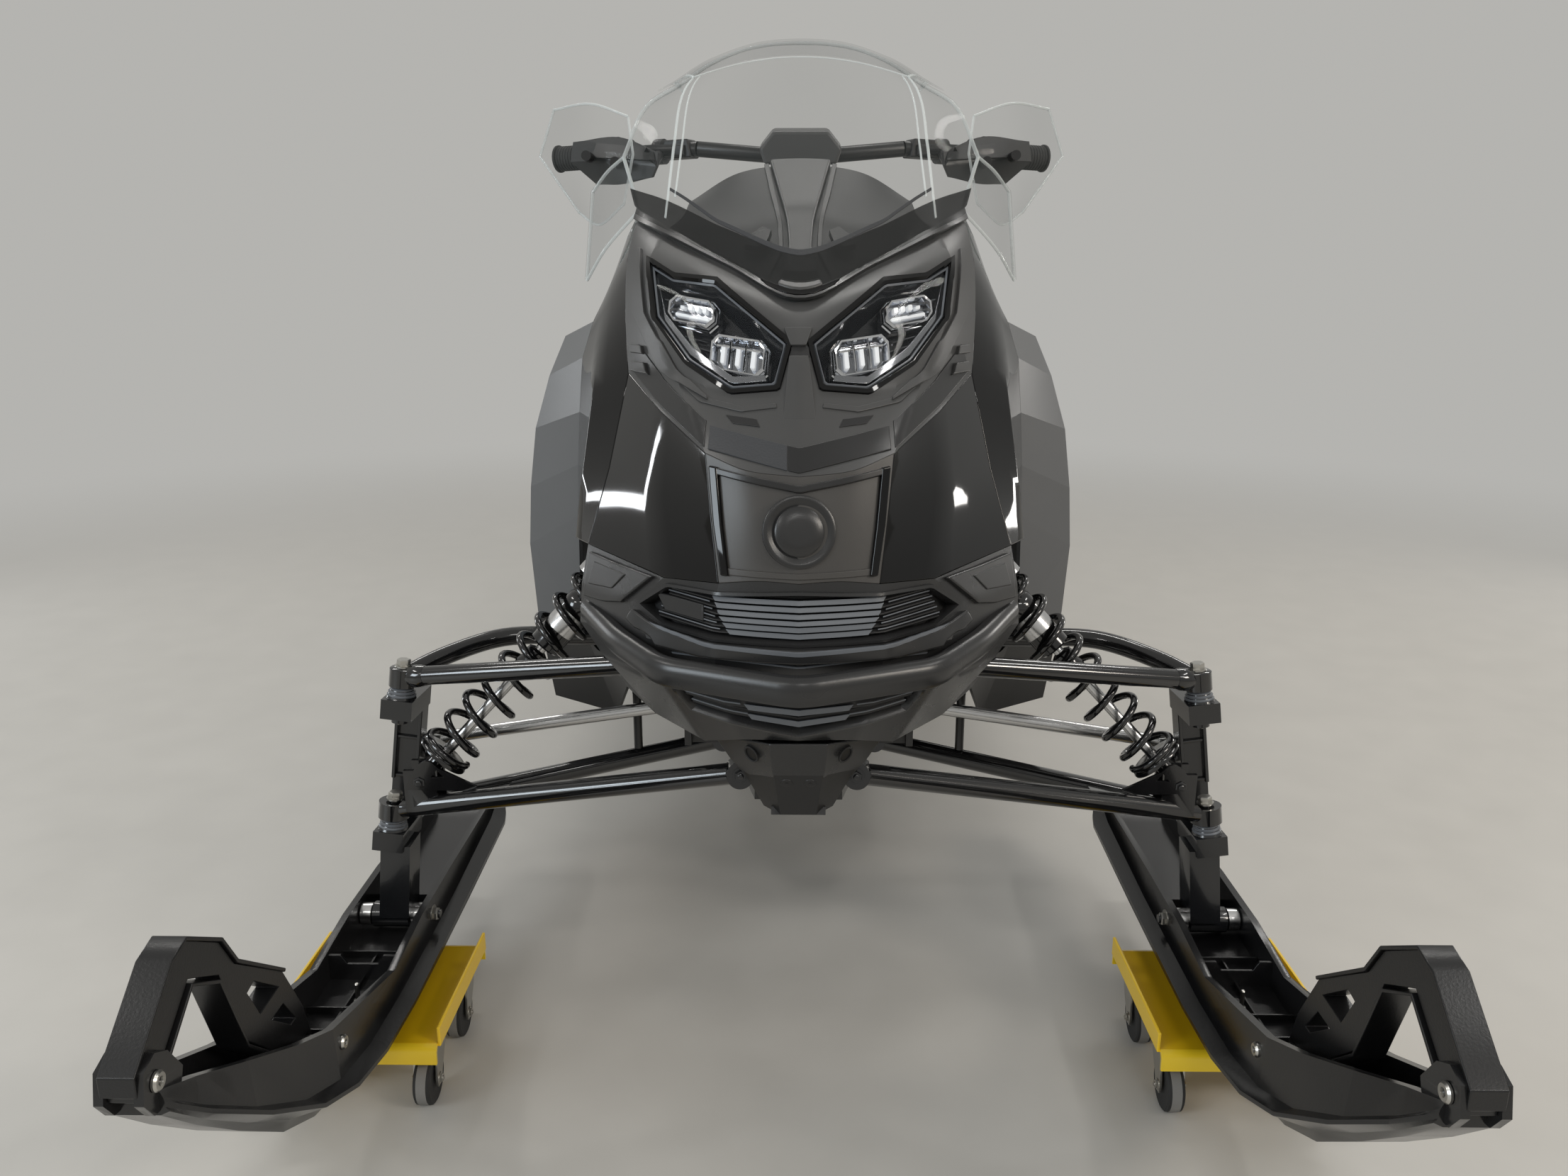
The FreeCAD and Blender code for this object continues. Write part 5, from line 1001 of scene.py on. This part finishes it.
# Handlebar: bar with ribbed grips, switch boxes, levers and riser pad
BAR_HEAD = P(0, 412, 1066)
copy_node("handlebar", "handlebar_tube", "dull_steel", "handlebar", sharp=40, bevel=0.0006)
GRIP_RIBS = [(radius, k * 4.7 + x) for k in range(26) for radius,
             x in ((18.3, 1), (18.3, 3.1), (17.4, 3.5), (17.4, 5.2))]
BOX_RING = ((-24, 0), (24, 0), (24, 4), (18, 26), (-20, 26), (-24, 4))
LEVER = ((0, 18), (30, 34), (80, 36), (128, 40))
grips, boxes, levers = [], [], []
for side in (-1, 1):
    knee, end = BAR_HEAD + V(side * 150, 18, 14), BAR_HEAD + V(side * 372, 105, 8)
    run = (end - knee).normalized()
    grips.append(turned([(21, -3), (21, 1)] + GRIP_RIBS + [(20, 123), (20, 126)], 24, end - run * 0.125,
                        run))
    forward = (FORE - run * FORE.dot(run)).normalized()
    rise = run.cross(forward) * side
    rise = rise if rise.z > 0 else -rise
    base = knee + run * 0.030
    boxes.append(prism([base + run * (x / 1000) + rise * (z / 1000 - 0.012) - forward * 0.014 for x,
                        z in BOX_RING],
                       forward * 0.030))
    boxes.append(prism([base + run * x + rise * z + forward * 0.010 for x, z in
                        ((-0.016, -0.010), (0.018, -0.010), (0.018, 0.006), (-0.016, 0.006))],
                       forward * 0.012))
    levers.append(tube_mesh(along([base + run * (x / 1000) + forward * (y / 1000) for x, y in LEVER], 8),
                            0.0048, 10, 1.5))
new_object("bar_grips", joined(grips), "rubber", body="handlebar", sharp=50)
new_object("bar_switches", joined(boxes), "black", body="handlebar", sharp=30, bevel=0.0022)
new_object("bar_levers", joined(levers), "satin", body="handlebar", sharp=40)
PAD_RING = ((-52, -20), (52, -20), (60, 2), (40, 26), (-40, 26), (-60, 2))
new_object("bar_pad", prism([BAR_HEAD + V(x, -26, z + 8) for x, z in PAD_RING], V(0, 50, 10)), "cowl",
           body="handlebar",
           sharp=30, bevel=0.005, segments=3)

# Front suspension

JOINT, UPPER_JOINT = P(533, 14, 222), P(510, 24, 402)
KINGPIN = Vector((-23, 10, 180)).normalized()
copy_node("lower_arms", "lower_arm_tubes", "steel", "machine", bevel=0.0009)

# The upper arm: a straight tube in front and one bent round the shock behind, with their pivot bushings
UPPER_FRONT, UPPER_REAR = P(150, -85, 460), P(150, 150, 418)
rear_run = along([UPPER_JOINT, P(470, 62, 416), P(400, 112, 428), P(300, 130, 425), UPPER_REAR], 8)
arm_parts = [tube_mesh([UPPER_JOINT, UPPER_FRONT], 0.0125, 20), tube_mesh(rear_run, 0.0125, 20),
             turned([(15, -13), (17, -11.5), (17, 11.5), (15, 13)], 36, UPPER_JOINT, KINGPIN),
             tube_mesh([UPPER_JOINT.lerp(UPPER_FRONT, t) for t in (0.035, 0.05, 0.075, 0.095)],
                       [0.0132, 0.0148, 0.0146, 0.0128], 20)]
arm_parts += [turned([(17, -22), (18, -21), (18, 21), (17, 22)], 28, pivot, UPPER_FRONT - UPPER_REAR)
              for pivot in (UPPER_FRONT, UPPER_REAR)]
stands_for(new_object("upper_arm_tubes", both(joined(arm_parts)), "steel", sharp=40), "upper_arms")

# Shocks: bodies with bump stop, seats and eyes, silver shafts and notched collars, and the springs
foot, head = P(487, 10, 272), P(190, 93, 586)
unit = (head - foot).normalized()
L = (head - foot).length * 1000
HIGH_SEAT = L * 0.78
side_axis = unit.cross(-FORE).normalized()
other_axis = unit.cross(side_axis)
body_shape = [(19, L * 0.52), (21, L * 0.525), (21, L * 0.66), (22.5, L * 0.665), (22.5, L * 0.70),
              (21, L * 0.705),
              (21, L - 60), (23.5, L - 58), (23.5, L - 38), (17, L - 36)]
bump_stop = [(radius, L * 0.46 + x) for radius, x in ((9, -19), (14, -16), (15.5, -6), (13.5, 0), (15.5, 6),
                                                      (14, 16),
                                                      (9, 19))]
low_seat = [(10, 28), (30, 33), (35, 33.5), (35.5, 36), (34, 39), (24, 39.5), (10, 42)]
black_parts = [turned(shape, sides, foot, unit) for shape, sides in (
    (body_shape, 40), (bump_stop, 28), (low_seat, 40), ([(10, 6), (10, 30)], 20),
    ([(12, L - 40), (12, L - 10)], 20))]
black_parts += [turned([(12, -14), (14, -12), (14, 12), (12, 14)], 28, foot, -FORE),
                turned([(15, -16), (17, -14), (17, 14), (15, 16)], 28, head, -FORE)]
silver_parts = [turned([(7, 0), (7, L * 0.6)], 24, foot, unit),
                turned([(21.3, L * 0.585), (21.6, L * 0.59), (21.6, L * 0.645), (21.3, L * 0.65)], 40, foot,
                       unit)]
stands_for(new_object("shock_bodies", both(joined(black_parts)), "steel", sharp=40), "shock_absorbers")
new_object("shock_shafts", both(joined(silver_parts)), "silver", sharp=40)


def round_shock(distance, angle, radius):
    """Place at a distance in mm along the shock and at a radius in mm round it."""
    spoke = side_axis * math.cos(angle) + other_axis * math.sin(angle)
    return foot + unit * (distance / 1000) + spoke * (radius / 1000)


collar = [[round_shock(distance, 2 * math.pi * k / 48, 35.5 if k % 4 < 3 else 33.0) for k in range(48)]
          for distance in (HIGH_SEAT - 6, HIGH_SEAT + 6)]
new_object("shock_collars", both(loft(collar)), "silver", sharp=30, bevel=0.0008)
SPRING_TURNS, SPRING_STEPS, LEAD = 9.2, 340, 0.09
coil_line = []
for i in range(SPRING_STEPS + 1):
    t = i / SPRING_STEPS
    climb = min(max((t - LEAD * 0.55) / (1 - LEAD * 1.1), 0.0), 1.0) * 0.975 + t * 0.025
    coil_line.append(round_shock(44.5 + (HIGH_SEAT - 11.5 - 44.5) * climb, 2 * math.pi * SPRING_TURNS * t,
                                 31))
springs = new_object("shock_spring_coils", both(tube_mesh(coil_line, 0.0047, 12)), "steel", sharp=60)
stands_for(springs, "shock_springs")

# Bolts on the frame's side, and the shock's brackets on the lower arms
frame_bolts = [hex_bolt(foot + V(0, -20.5, 0), FORE, 7.5, 7), hex_bolt(foot + V(0, 20.5, 0), -FORE, 7.5, 7),
               hex_bolt(head + V(0, -22.5, 0), FORE, 8, 7)]
for front_place, rear_place in ((P(70, -125, 337), P(110, 180, 255)), (UPPER_FRONT, UPPER_REAR)):
    axis = (front_place - rear_place).normalized()
    frame_bolts += [hex_bolt(front_place + axis * 0.0222, axis, 7, 6),
                    hex_bolt(rear_place - axis * 0.0222, -axis, 7, 6)]
new_object("suspension_bolts", both(joined(frame_bolts)), "spindle", sharp=35)


def through(px, py, behind):
    """Place seen at a pixel of the photograph, at a distance behind the ski bolts."""
    direction = ray(px, py)
    return EYE + direction * ((P(0, behind, 0).y - EYE.y) / direction.y)


BRACKET = ((1586, 1120), (1582, 1113), (1638, 1088), (1647, 1080), (1657, 1077), (1667, 1083), (1678, 1098),
           (1686, 1118))
bracket = ([through(px, py, -11) for px, py in BRACKET], [tuple(range(len(BRACKET)))])
window = prism([through(px, py, -30) for px, py in ((1636, 1109), (1646, 1099), (1655, 1110))], V(0, 50, 0))
for name, part, cutter in (("shock_brackets", bracket, window),
                           ("shock_brackets_right", flipped(bracket), flipped(window))):
    shell(name, part, "steel", thick=0.004, cutters=[cutter], bevel=0.0010)

# Uprights: boots and nuts of the ball joints and the casting's ribs
UPRIGHT_RIBS = (
    # Across, behind, along the kingpin, then width, depth and length
    (-15.5, 39, 27, 5, 8, 102), (15.5, 39, 27, 5, 8, 102), (0, 40, 29, 28, 5, 4), (0, 40, 84, 28, 5, 4),
)
turn = RISE.rotation_difference(KINGPIN)
casting = joined([prism([JOINT + turn @ V(x + dx * wide / 2, y + dy * deep / 2, z)
                         for dx, dy in ((-1, -1), (1, -1), (1, 1), (-1, 1))], turn @ V(0, 0, tall))
                  for x, y, z, wide, deep, tall in UPRIGHT_RIBS])
BOOT = ((13.5, -27), (17.5, -25.5), (18.5, -23), (16.4, -20.8), (17.2, -18.6), (14.6, -16.4), (15.0, -14.4),
        (12.6, -12.0))
boots = joined([turned(BOOT, 32, centre, KINGPIN) for centre in (JOINT, UPPER_JOINT)])
nut_shapes = (([(11, 13.5), (11, 15.5)], 24), ([(8.4, 15), (8.8, 16), (8.8, 23), (7.6, 24)], 6))
nuts = [turned(shape, sides, centre, KINGPIN) for centre in (JOINT, UPPER_JOINT) for shape,
        sides in nut_shapes]
nuts += [turned([(9.2, -56), (9.6, -55), (9.6, -49), (9.2, -48)], 6, UPPER_JOINT, KINGPIN),
         turned([(4, -64), (5, -62), (5, -52)], 14, UPPER_JOINT, KINGPIN)]


def own_pieces(tag, pieces):
    """Pieces that turn with one ski, drawn for the left side and mirrored for the right."""
    for name, part, mat, sharp, edge in pieces:
        new_object(name + tag, flipped(part) if tag == "right" else part, mat, "ski_" + tag, sharp, edge)


for tag in ("left", "right"):
    body = "ski_" + tag
    own_pieces(tag, (("joint_boots_", boots, "slat", 50, 0.0), ("joint_nuts_", joined(nuts), "zinc", 35,
                                                                0.0)))
    copy_node("spindle_" + tag, "upright_" + tag, "spindle", body, sharp=28, bevel=0.0022,
              segments=3)
    own_pieces(tag, [("upright_ribs_", casting, "spindle", 30, 0.0012)])
    copy_node("ski_" + tag, "ski_hull_" + tag, "ski", body, sharp=18, bevel=0.0014)
    copy_node("ski_loop_" + tag, "ski_handle_" + tag, "loop", body, sharp=18, bevel=0.0026,
              segments=3)
    copy_node("ski_dolly_" + tag, "dolly_tray_" + tag, "yellow", body, segments=3)
    copy_node("tie_rod_" + tag, "steering_rod_" + tag, "silver", "tie_rod_" + tag, sharp=40,
              bevel=0.0006)
copy_node("track_dolly", "dolly_tray_track", "yellow", "machine", segments=3)

# Fittings of each ski: ribs in the trough, bolt heads, studs, flanges of the loop and the dolly's end aprons
SKI_MIDDLE = 541.5
SKI_ROWS = (
    # Behind, height of the deck, half the room between the walls
    (-592, 255, 12.4), (-545, 211, 18), (-480, 157, 28), (-400, 101, 36), (-330, 71, 41), (-250, 55, 42),
    (-150, 51, 43), (90, 57, 43),
)


def trough(behind):
    """Height of the ski's deck and half the room between its walls."""
    for (a, deck_a, room_a), (b, deck_b, room_b) in zip(SKI_ROWS, SKI_ROWS[1:]):
        if behind <= b:
            t = (behind - a) / (b - a)
            return deck_a + (deck_b - deck_a) * t, room_a + (room_b - room_a) * t


def strip_along(line, half_wide, thick):
    """Flat bar along a line of (back, up) in the ski's middle plane, thick towards its right-hand side."""
    line = [Vector(point) for point in line]
    rings = []
    for i, (behind, height) in enumerate(line):
        run = run_at(line, i) * thick
        rings.append([P(SKI_MIDDLE + x, behind - s * run.y, height + s * run.x)
                      for x, s in ((-half_wide, 0), (half_wide, 0), (half_wide, 1), (-half_wide, 1))])
    return loft(rings)


def cross_rib(behind, rise, thick=3.0, notch=0.0):
    deck, room = trough(behind)
    ring = [(-room, deck - 3), (room, deck - 3), (room, deck + rise)]
    if notch:
        ring += [(room * 0.62, deck + rise), (room * 0.45, deck + rise - notch),
                 (-room * 0.45, deck + rise - notch),
                 (-room * 0.62, deck + rise)]
    ring.append((-room, deck + rise))
    return prism([P(SKI_MIDDLE + x, behind, z) for x, z in ring], V(0, thick, 0))


keel_rib = [(behind, trough(behind)[0] - 2) for behind in range(-572, -330, 12)]
ski_ribs = joined([strip_along(keel_rib, 1.6, 9), strip_along([(-338, 68), (-250, 52), (-150, 48),
                                                               (-60, 50)], 1.6, 9)]
                  + [cross_rib(behind, 7) for behind in (-530, -492, -452, -410, -368)]
                  + [cross_rib(-290, 26, 4, 9), cross_rib(-118, 34, 4, 12)]
                  + [cross_rib(behind, rise) for behind, rise in ((-235, 9), (-190, 9), (-72, 10),
                                                                  (62, 12))])
LOOP_TOP = [(-611, 268), (-611, 287), (-538, 346), (-510, 353), (-453, 317), (-431, 281), (-343, 214)]
LOOP_UNDER = [(-391, 150), (-432, 189), (-465, 281), (-512, 308), (-570, 263)]
loop_flanges = joined([strip_along(LOOP_TOP, 15.5, -4), strip_along(LOOP_UNDER, 15.5, 4)])


def head_of(out, behind, height, outward, radius, thick):
    """Domed bolt head with a socket ring, in millimetres."""
    return turned([(radius, 0), (radius, thick * 0.5), (radius * 0.8, thick), (radius * 0.45, thick),
                   (radius * 0.4, thick * 0.5), (radius * 0.1, thick * 0.5)], 28, P(out, behind, height),
                  OUTER * outward)


fittings = []
for outward in (-1, 1):
    fittings += [head_of(SKI_MIDDLE + outward * 21, -592, 271, outward, 9, 4),
                 head_of(SKI_MIDDLE + outward * 50.5, -312, 104, outward, 8, 4.5),
                 hex_bolt(P(SKI_MIDDLE + outward * 52, 0, 75), OUTER * outward, 9, 8)]
fittings += [turned([(5, -3), (5, 4), (2.6, 5), (2.6, 25), (1.8, 26)], 16,
                    P(out, behind, trough(behind)[0]), RISE)
             for out, behind in ((SKI_MIDDLE + 9, -455), (SKI_MIDDLE - 10, -165))]
bushings = joined([turned([(12.5, side * 26), (14.5, side * 27), (14.5, side * 41), (12.5, side * 42.5)],
                          28,
                          P(SKI_MIDDLE, 0, 75), OUTER) for side in (-1, 1)])
TRAY_HALF, TRAY_TOP = 104, 95
APRON = ((0, 0), (5, -1.5), (8, -7), (8.5, -24), (5, -24), (4, -9), (0, -4))
aprons = joined([prism([P(SKI_MIDDLE - TRAY_HALF, end + outward * x, TRAY_TOP + z - 95) for x, z in APRON],
                       V(2 * TRAY_HALF, 0, 0)) for end, outward in ((-172, -1), (42, 1))])

SKI_PIECES = (
    ("ski_ribs_", ski_ribs, "ski", 30, 0.0007), ("loop_flanges_", loop_flanges, "loop", 50, 0.0012),
    ("ski_fittings_", joined(fittings), "zinc", 35, 0.0), ("pivot_bushings_", bushings, "silver", 35, 0.0),
    ("dolly_aprons_", aprons, "yellow", 60, 0.0),
)
for tag in ("left", "right"):
    own_pieces(tag, SKI_PIECES)


# Casters: plate, swivel, fork and wheel with a worn tread, in millimetres

TYRE = [(12, -9), (24, -10), (29, -10.5), (31.4, -9), (32, -6), (32, 6), (31.4, 9), (29, 10.5), (24, 10),
        (12, 9)]
TREAD = [(31.2, -6.6), (32.15, -6), (32.15, 6), (31.2, 6.6)]


def slab(x0, x1, y0, y1, z, thick):
    return prism([V(x, y, z) for x, y in ((x0, y0), (x1, y0), (x1, y1), (x0, y1))], V(0, 0, thick))


def caster_metal(x, stem_y, axle_y):
    metal = [slab(x - 18, x + 18, stem_y - 20, stem_y + 20, 88, 3),
             slab(x - 15, x + 15, stem_y - 17, stem_y + 15, 76, 3),
             turned([(16, 0), (17.5, 2), (17.5, 8), (14, 10.5)], 28, V(x, stem_y, 78), RISE)]
    for side in (-1, 1):
        low = x + side * 12.5 - (2.5 if side < 0 else 0)
        ring = [(stem_y - 17, 79), (stem_y + 15, 79), (stem_y + 8, 62), (axle_y + 11, 36), (axle_y + 7, 24),
                (axle_y - 7, 24), (axle_y - 10, 36), (stem_y - 24, 70)]
        metal += [prism([V(low, y, z) for y, z in ring], V(2.5, 0, 0)),
                  hex_bolt(V(x + side * 15, axle_y, 32), OUTER * side, 5.4, 3.6)]
        metal += [turned([(4, 0), (4, 2), (2.5, 3.4)], 12, V(x + side * 13.5, stem_y + end * 15, 91.4),
                         RISE)
                  for end in (-1, 1)]
    return metal


CASTER_TRAIL = 20
for tag, node, centre_x, middle_y, reach_x, reach_y, body in (
        ("left", "ski_casters_left", 541.5, -1009, 82, 67.5, "ski_left"),
        ("right", "ski_casters_right", -541.5, -1009, 82, 67.5, "ski_right"),
        ("track", "track_casters", 0, 476, 164, 90.5, "machine")):
    stems = [(centre_x + dx * reach_x, middle_y + dy * reach_y) for dx in (-1, 1) for dy in (-1, 1)]
    metal = [part for x, y in stems for part in caster_metal(x, y, y - CASTER_TRAIL)]
    tyres, treads = ([turned(shape, 48, V(x, y - CASTER_TRAIL, 32), OUTER) for x, y in stems]
                     for shape in (TYRE, TREAD))
    stands_for(new_object(f"casters_{tag}_metal", joined(metal), "zinc", body, 32), node)
    new_object(f"casters_{tag}_tyres", joined(tyres), "rubber", body, 30)
    new_object(f"casters_{tag}_treads", joined(treads), "tread", body, 30)


# Seats: crowned foam cushions, drawn as closed forms

def cushion(name, rings, steps, sharp, detail):
    """Closed upholstered form through rings, joined by smooth curves through their points."""
    columns = [along([ring[k] for ring in rings], steps) for k in range(len(rings[0]))]
    obj = new_object(name, loft(list(zip(*columns))), "vinyl", sharp=sharp)
    soft = obj.modifiers.new("crown", "SUBSURF")
    soft.levels = 1
    soft.render_levels = detail
    return obj


def seat_ring(behind, base_half, top_half, top):
    """Section of a seat from its base round the top and back."""
    base = 482
    half = [(base_half - 8, base + 3), (base_half, base + 8), (base_half, base + 22),
            (base_half + 3, (base + top - 86) / 2), (base_half + 1, top - 86), (top_half + 22, top - 44),
            (top_half + 14, top - 18), (top_half - 8, top - 3), (top_half - 44, top + 1), (18, top - 3)]
    line = [P(out, behind, height) for out, height in half]
    return line + [flip(p) for p in reversed(line)]


# Behind, half width at the base and at the top, height of the top
DRIVER = ((602, 112, 58, 696), (640, 118, 66, 692), (760, 136, 94, 682), (940, 144, 110, 684),
          (1130, 148, 124, 694),
          (1190, 148, 122, 708), (1218, 146, 116, 712))
PILLION = ((1222, 146, 112, 738), (1250, 148, 120, 744), (1380, 149, 124, 748), (1560, 146, 122, 752),
           (1710, 140, 116, 752), (1738, 136, 108, 742))
for name, node, rows in (("driver_cushion", "driver_seat", DRIVER),
                         ("pillion_cushion", "passenger_seat", PILLION)):
    stands_for(cushion(name, [seat_ring(*row) for row in rows], 8, 70, 2), node)
backrest_rings = []
for height, behind, half, deep in ((782, 1754, 96, 58), (800, 1754, 108, 68), (880, 1768, 118, 70),
                                   (980, 1780, 127, 71),
                                   (1060, 1794, 124, 70), (1088, 1800, 110, 64), (1098, 1806, 92, 52)):
    ring = [(half - 14, 0), (half - 3, 10), (half, 26), (half - 3, deep - 12), (half - 16, deep),
            (20, deep + 1),
            (-20, deep + 1), (16 - half, deep), (3 - half, deep - 12), (-half, 26), (3 - half, 10),
            (14 - half, 0),
            (-40, -6), (0, -8), (40, -6)]
    backrest_rings.append([P(out, behind + reach + 6, height) for out, reach in ring])
cushion("backrest_cushion", backrest_rings, 5, 75, 1)
new_object("backrest_posts", joined([
    tube_mesh(along([P(side * 42, *place) for place in ((1705, 735), (1765, 745), (1782, 800),
                                                        (1792, 870))], 8), 0.010, 14)
    for side in (-1, 1)]), "dull_steel", sharp=50)

# The track and its wheels stay as they are in the CAD model
for node, mat in (("track", "rubber"), ("track_wheels", "black")):
    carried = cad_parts[node].data
    carried.materials.clear()
    carried.materials.append(M[mat])

# Floor, backdrop and lights

BACKDROP = (0.46, 0.455, 0.435, 1)
bpy.ops.mesh.primitive_plane_add(size=40, location=(0, 0, 0))
floor = bpy.context.object
floor.name = "studio_floor"
floor_mat = material("pale_floor", (0.50, 0.485, 0.455), 0.46, 0.05, 60, 0.06)
floor.data.materials.append(floor_mat)
add_node, link_nodes = node_maker(floor_mat)
radius = add_node("VectorMath", operation="LENGTH")
fade = add_node("MapRange", {"From Min": 1.6, "From Max": 5.2}, interpolation_type="SMOOTHSTEP")
share = add_node("Math", operation="MULTIPLY")
mixed = add_node("MixShader")
link_nodes(add_node("TexCoord").outputs["Object"], radius.inputs[0])
link_nodes(radius.outputs["Value"], fade.inputs["Value"])
link_nodes(fade.outputs["Result"], share.inputs[0])
link_nodes(add_node("LightPath").outputs["Is Camera Ray"], share.inputs[1])
link_nodes(share.outputs["Value"], mixed.inputs["Fac"])
link_nodes(floor_mat.node_tree.nodes["Principled BSDF"].outputs["BSDF"], mixed.inputs[1])
link_nodes(add_node("Emission", {"Color": BACKDROP}).outputs["Emission"], mixed.inputs[2])
link_nodes(mixed.outputs["Shader"], floor_mat.node_tree.nodes["Material Output"].inputs["Surface"])


def area_light(name, place, target, size_x, size_y, power, colour):
    data = bpy.data.lights.new(name, "AREA")
    data.shape = "RECTANGLE"
    data.size, data.size_y = size_x, size_y
    data.energy = power
    data.color = colour
    obj = bpy.data.objects.new(name, data)
    obj.location = place
    obj.rotation_euler = (Vector(target) - Vector(place)).to_track_quat("-Z", "Y").to_euler()
    bpy.context.collection.objects.link(obj)
    obj.visible_camera = False


for i, (x, y) in enumerate(((-2.6, -4.6), (0.6, -5.0), (3.2, -4.2), (-3.2, -1.6), (2.9, -1.4), (-2.2, 2.2),
                            (2.4, 2.4),
                            (0.1, 0.4))):
    area_light(f"ceiling_lamp_{i}", (x, y, 3.6), (x * 0.4, -0.6 + y * 0.2, 0.3), 1.3, 0.20, 17,
               (1.0, 0.98, 0.95))
area_light("window_right", (-3.6, -3.6, 1.9), (0, -0.9, 0.6), 1.6, 1.3, 62, (0.84, 0.93, 1.0))
area_light("window_left", (3.4, -3.2, 2.5), (0.1, -0.9, 0.6), 1.0, 0.7, 46, (1.0, 0.92, 0.82))
area_light("side_lamp_left", (3.3, 1.2, 0.75), (0.1, -1.1, 0.8), 0.55, 0.35, 8, (1.0, 0.97, 0.93))
area_light("side_lamp_right", (-3.3, 0.9, 0.9), (-0.1, -1.1, 0.7), 0.18, 0.9, 8, (0.94, 0.97, 1.0))
world = bpy.data.worlds.new("studio")
world.use_nodes = True
fill(world.node_tree.nodes["Background"], {"Color": BACKDROP, "Strength": 1.0})
bpy.context.scene.world = world

bpy.context.view_layer.update()
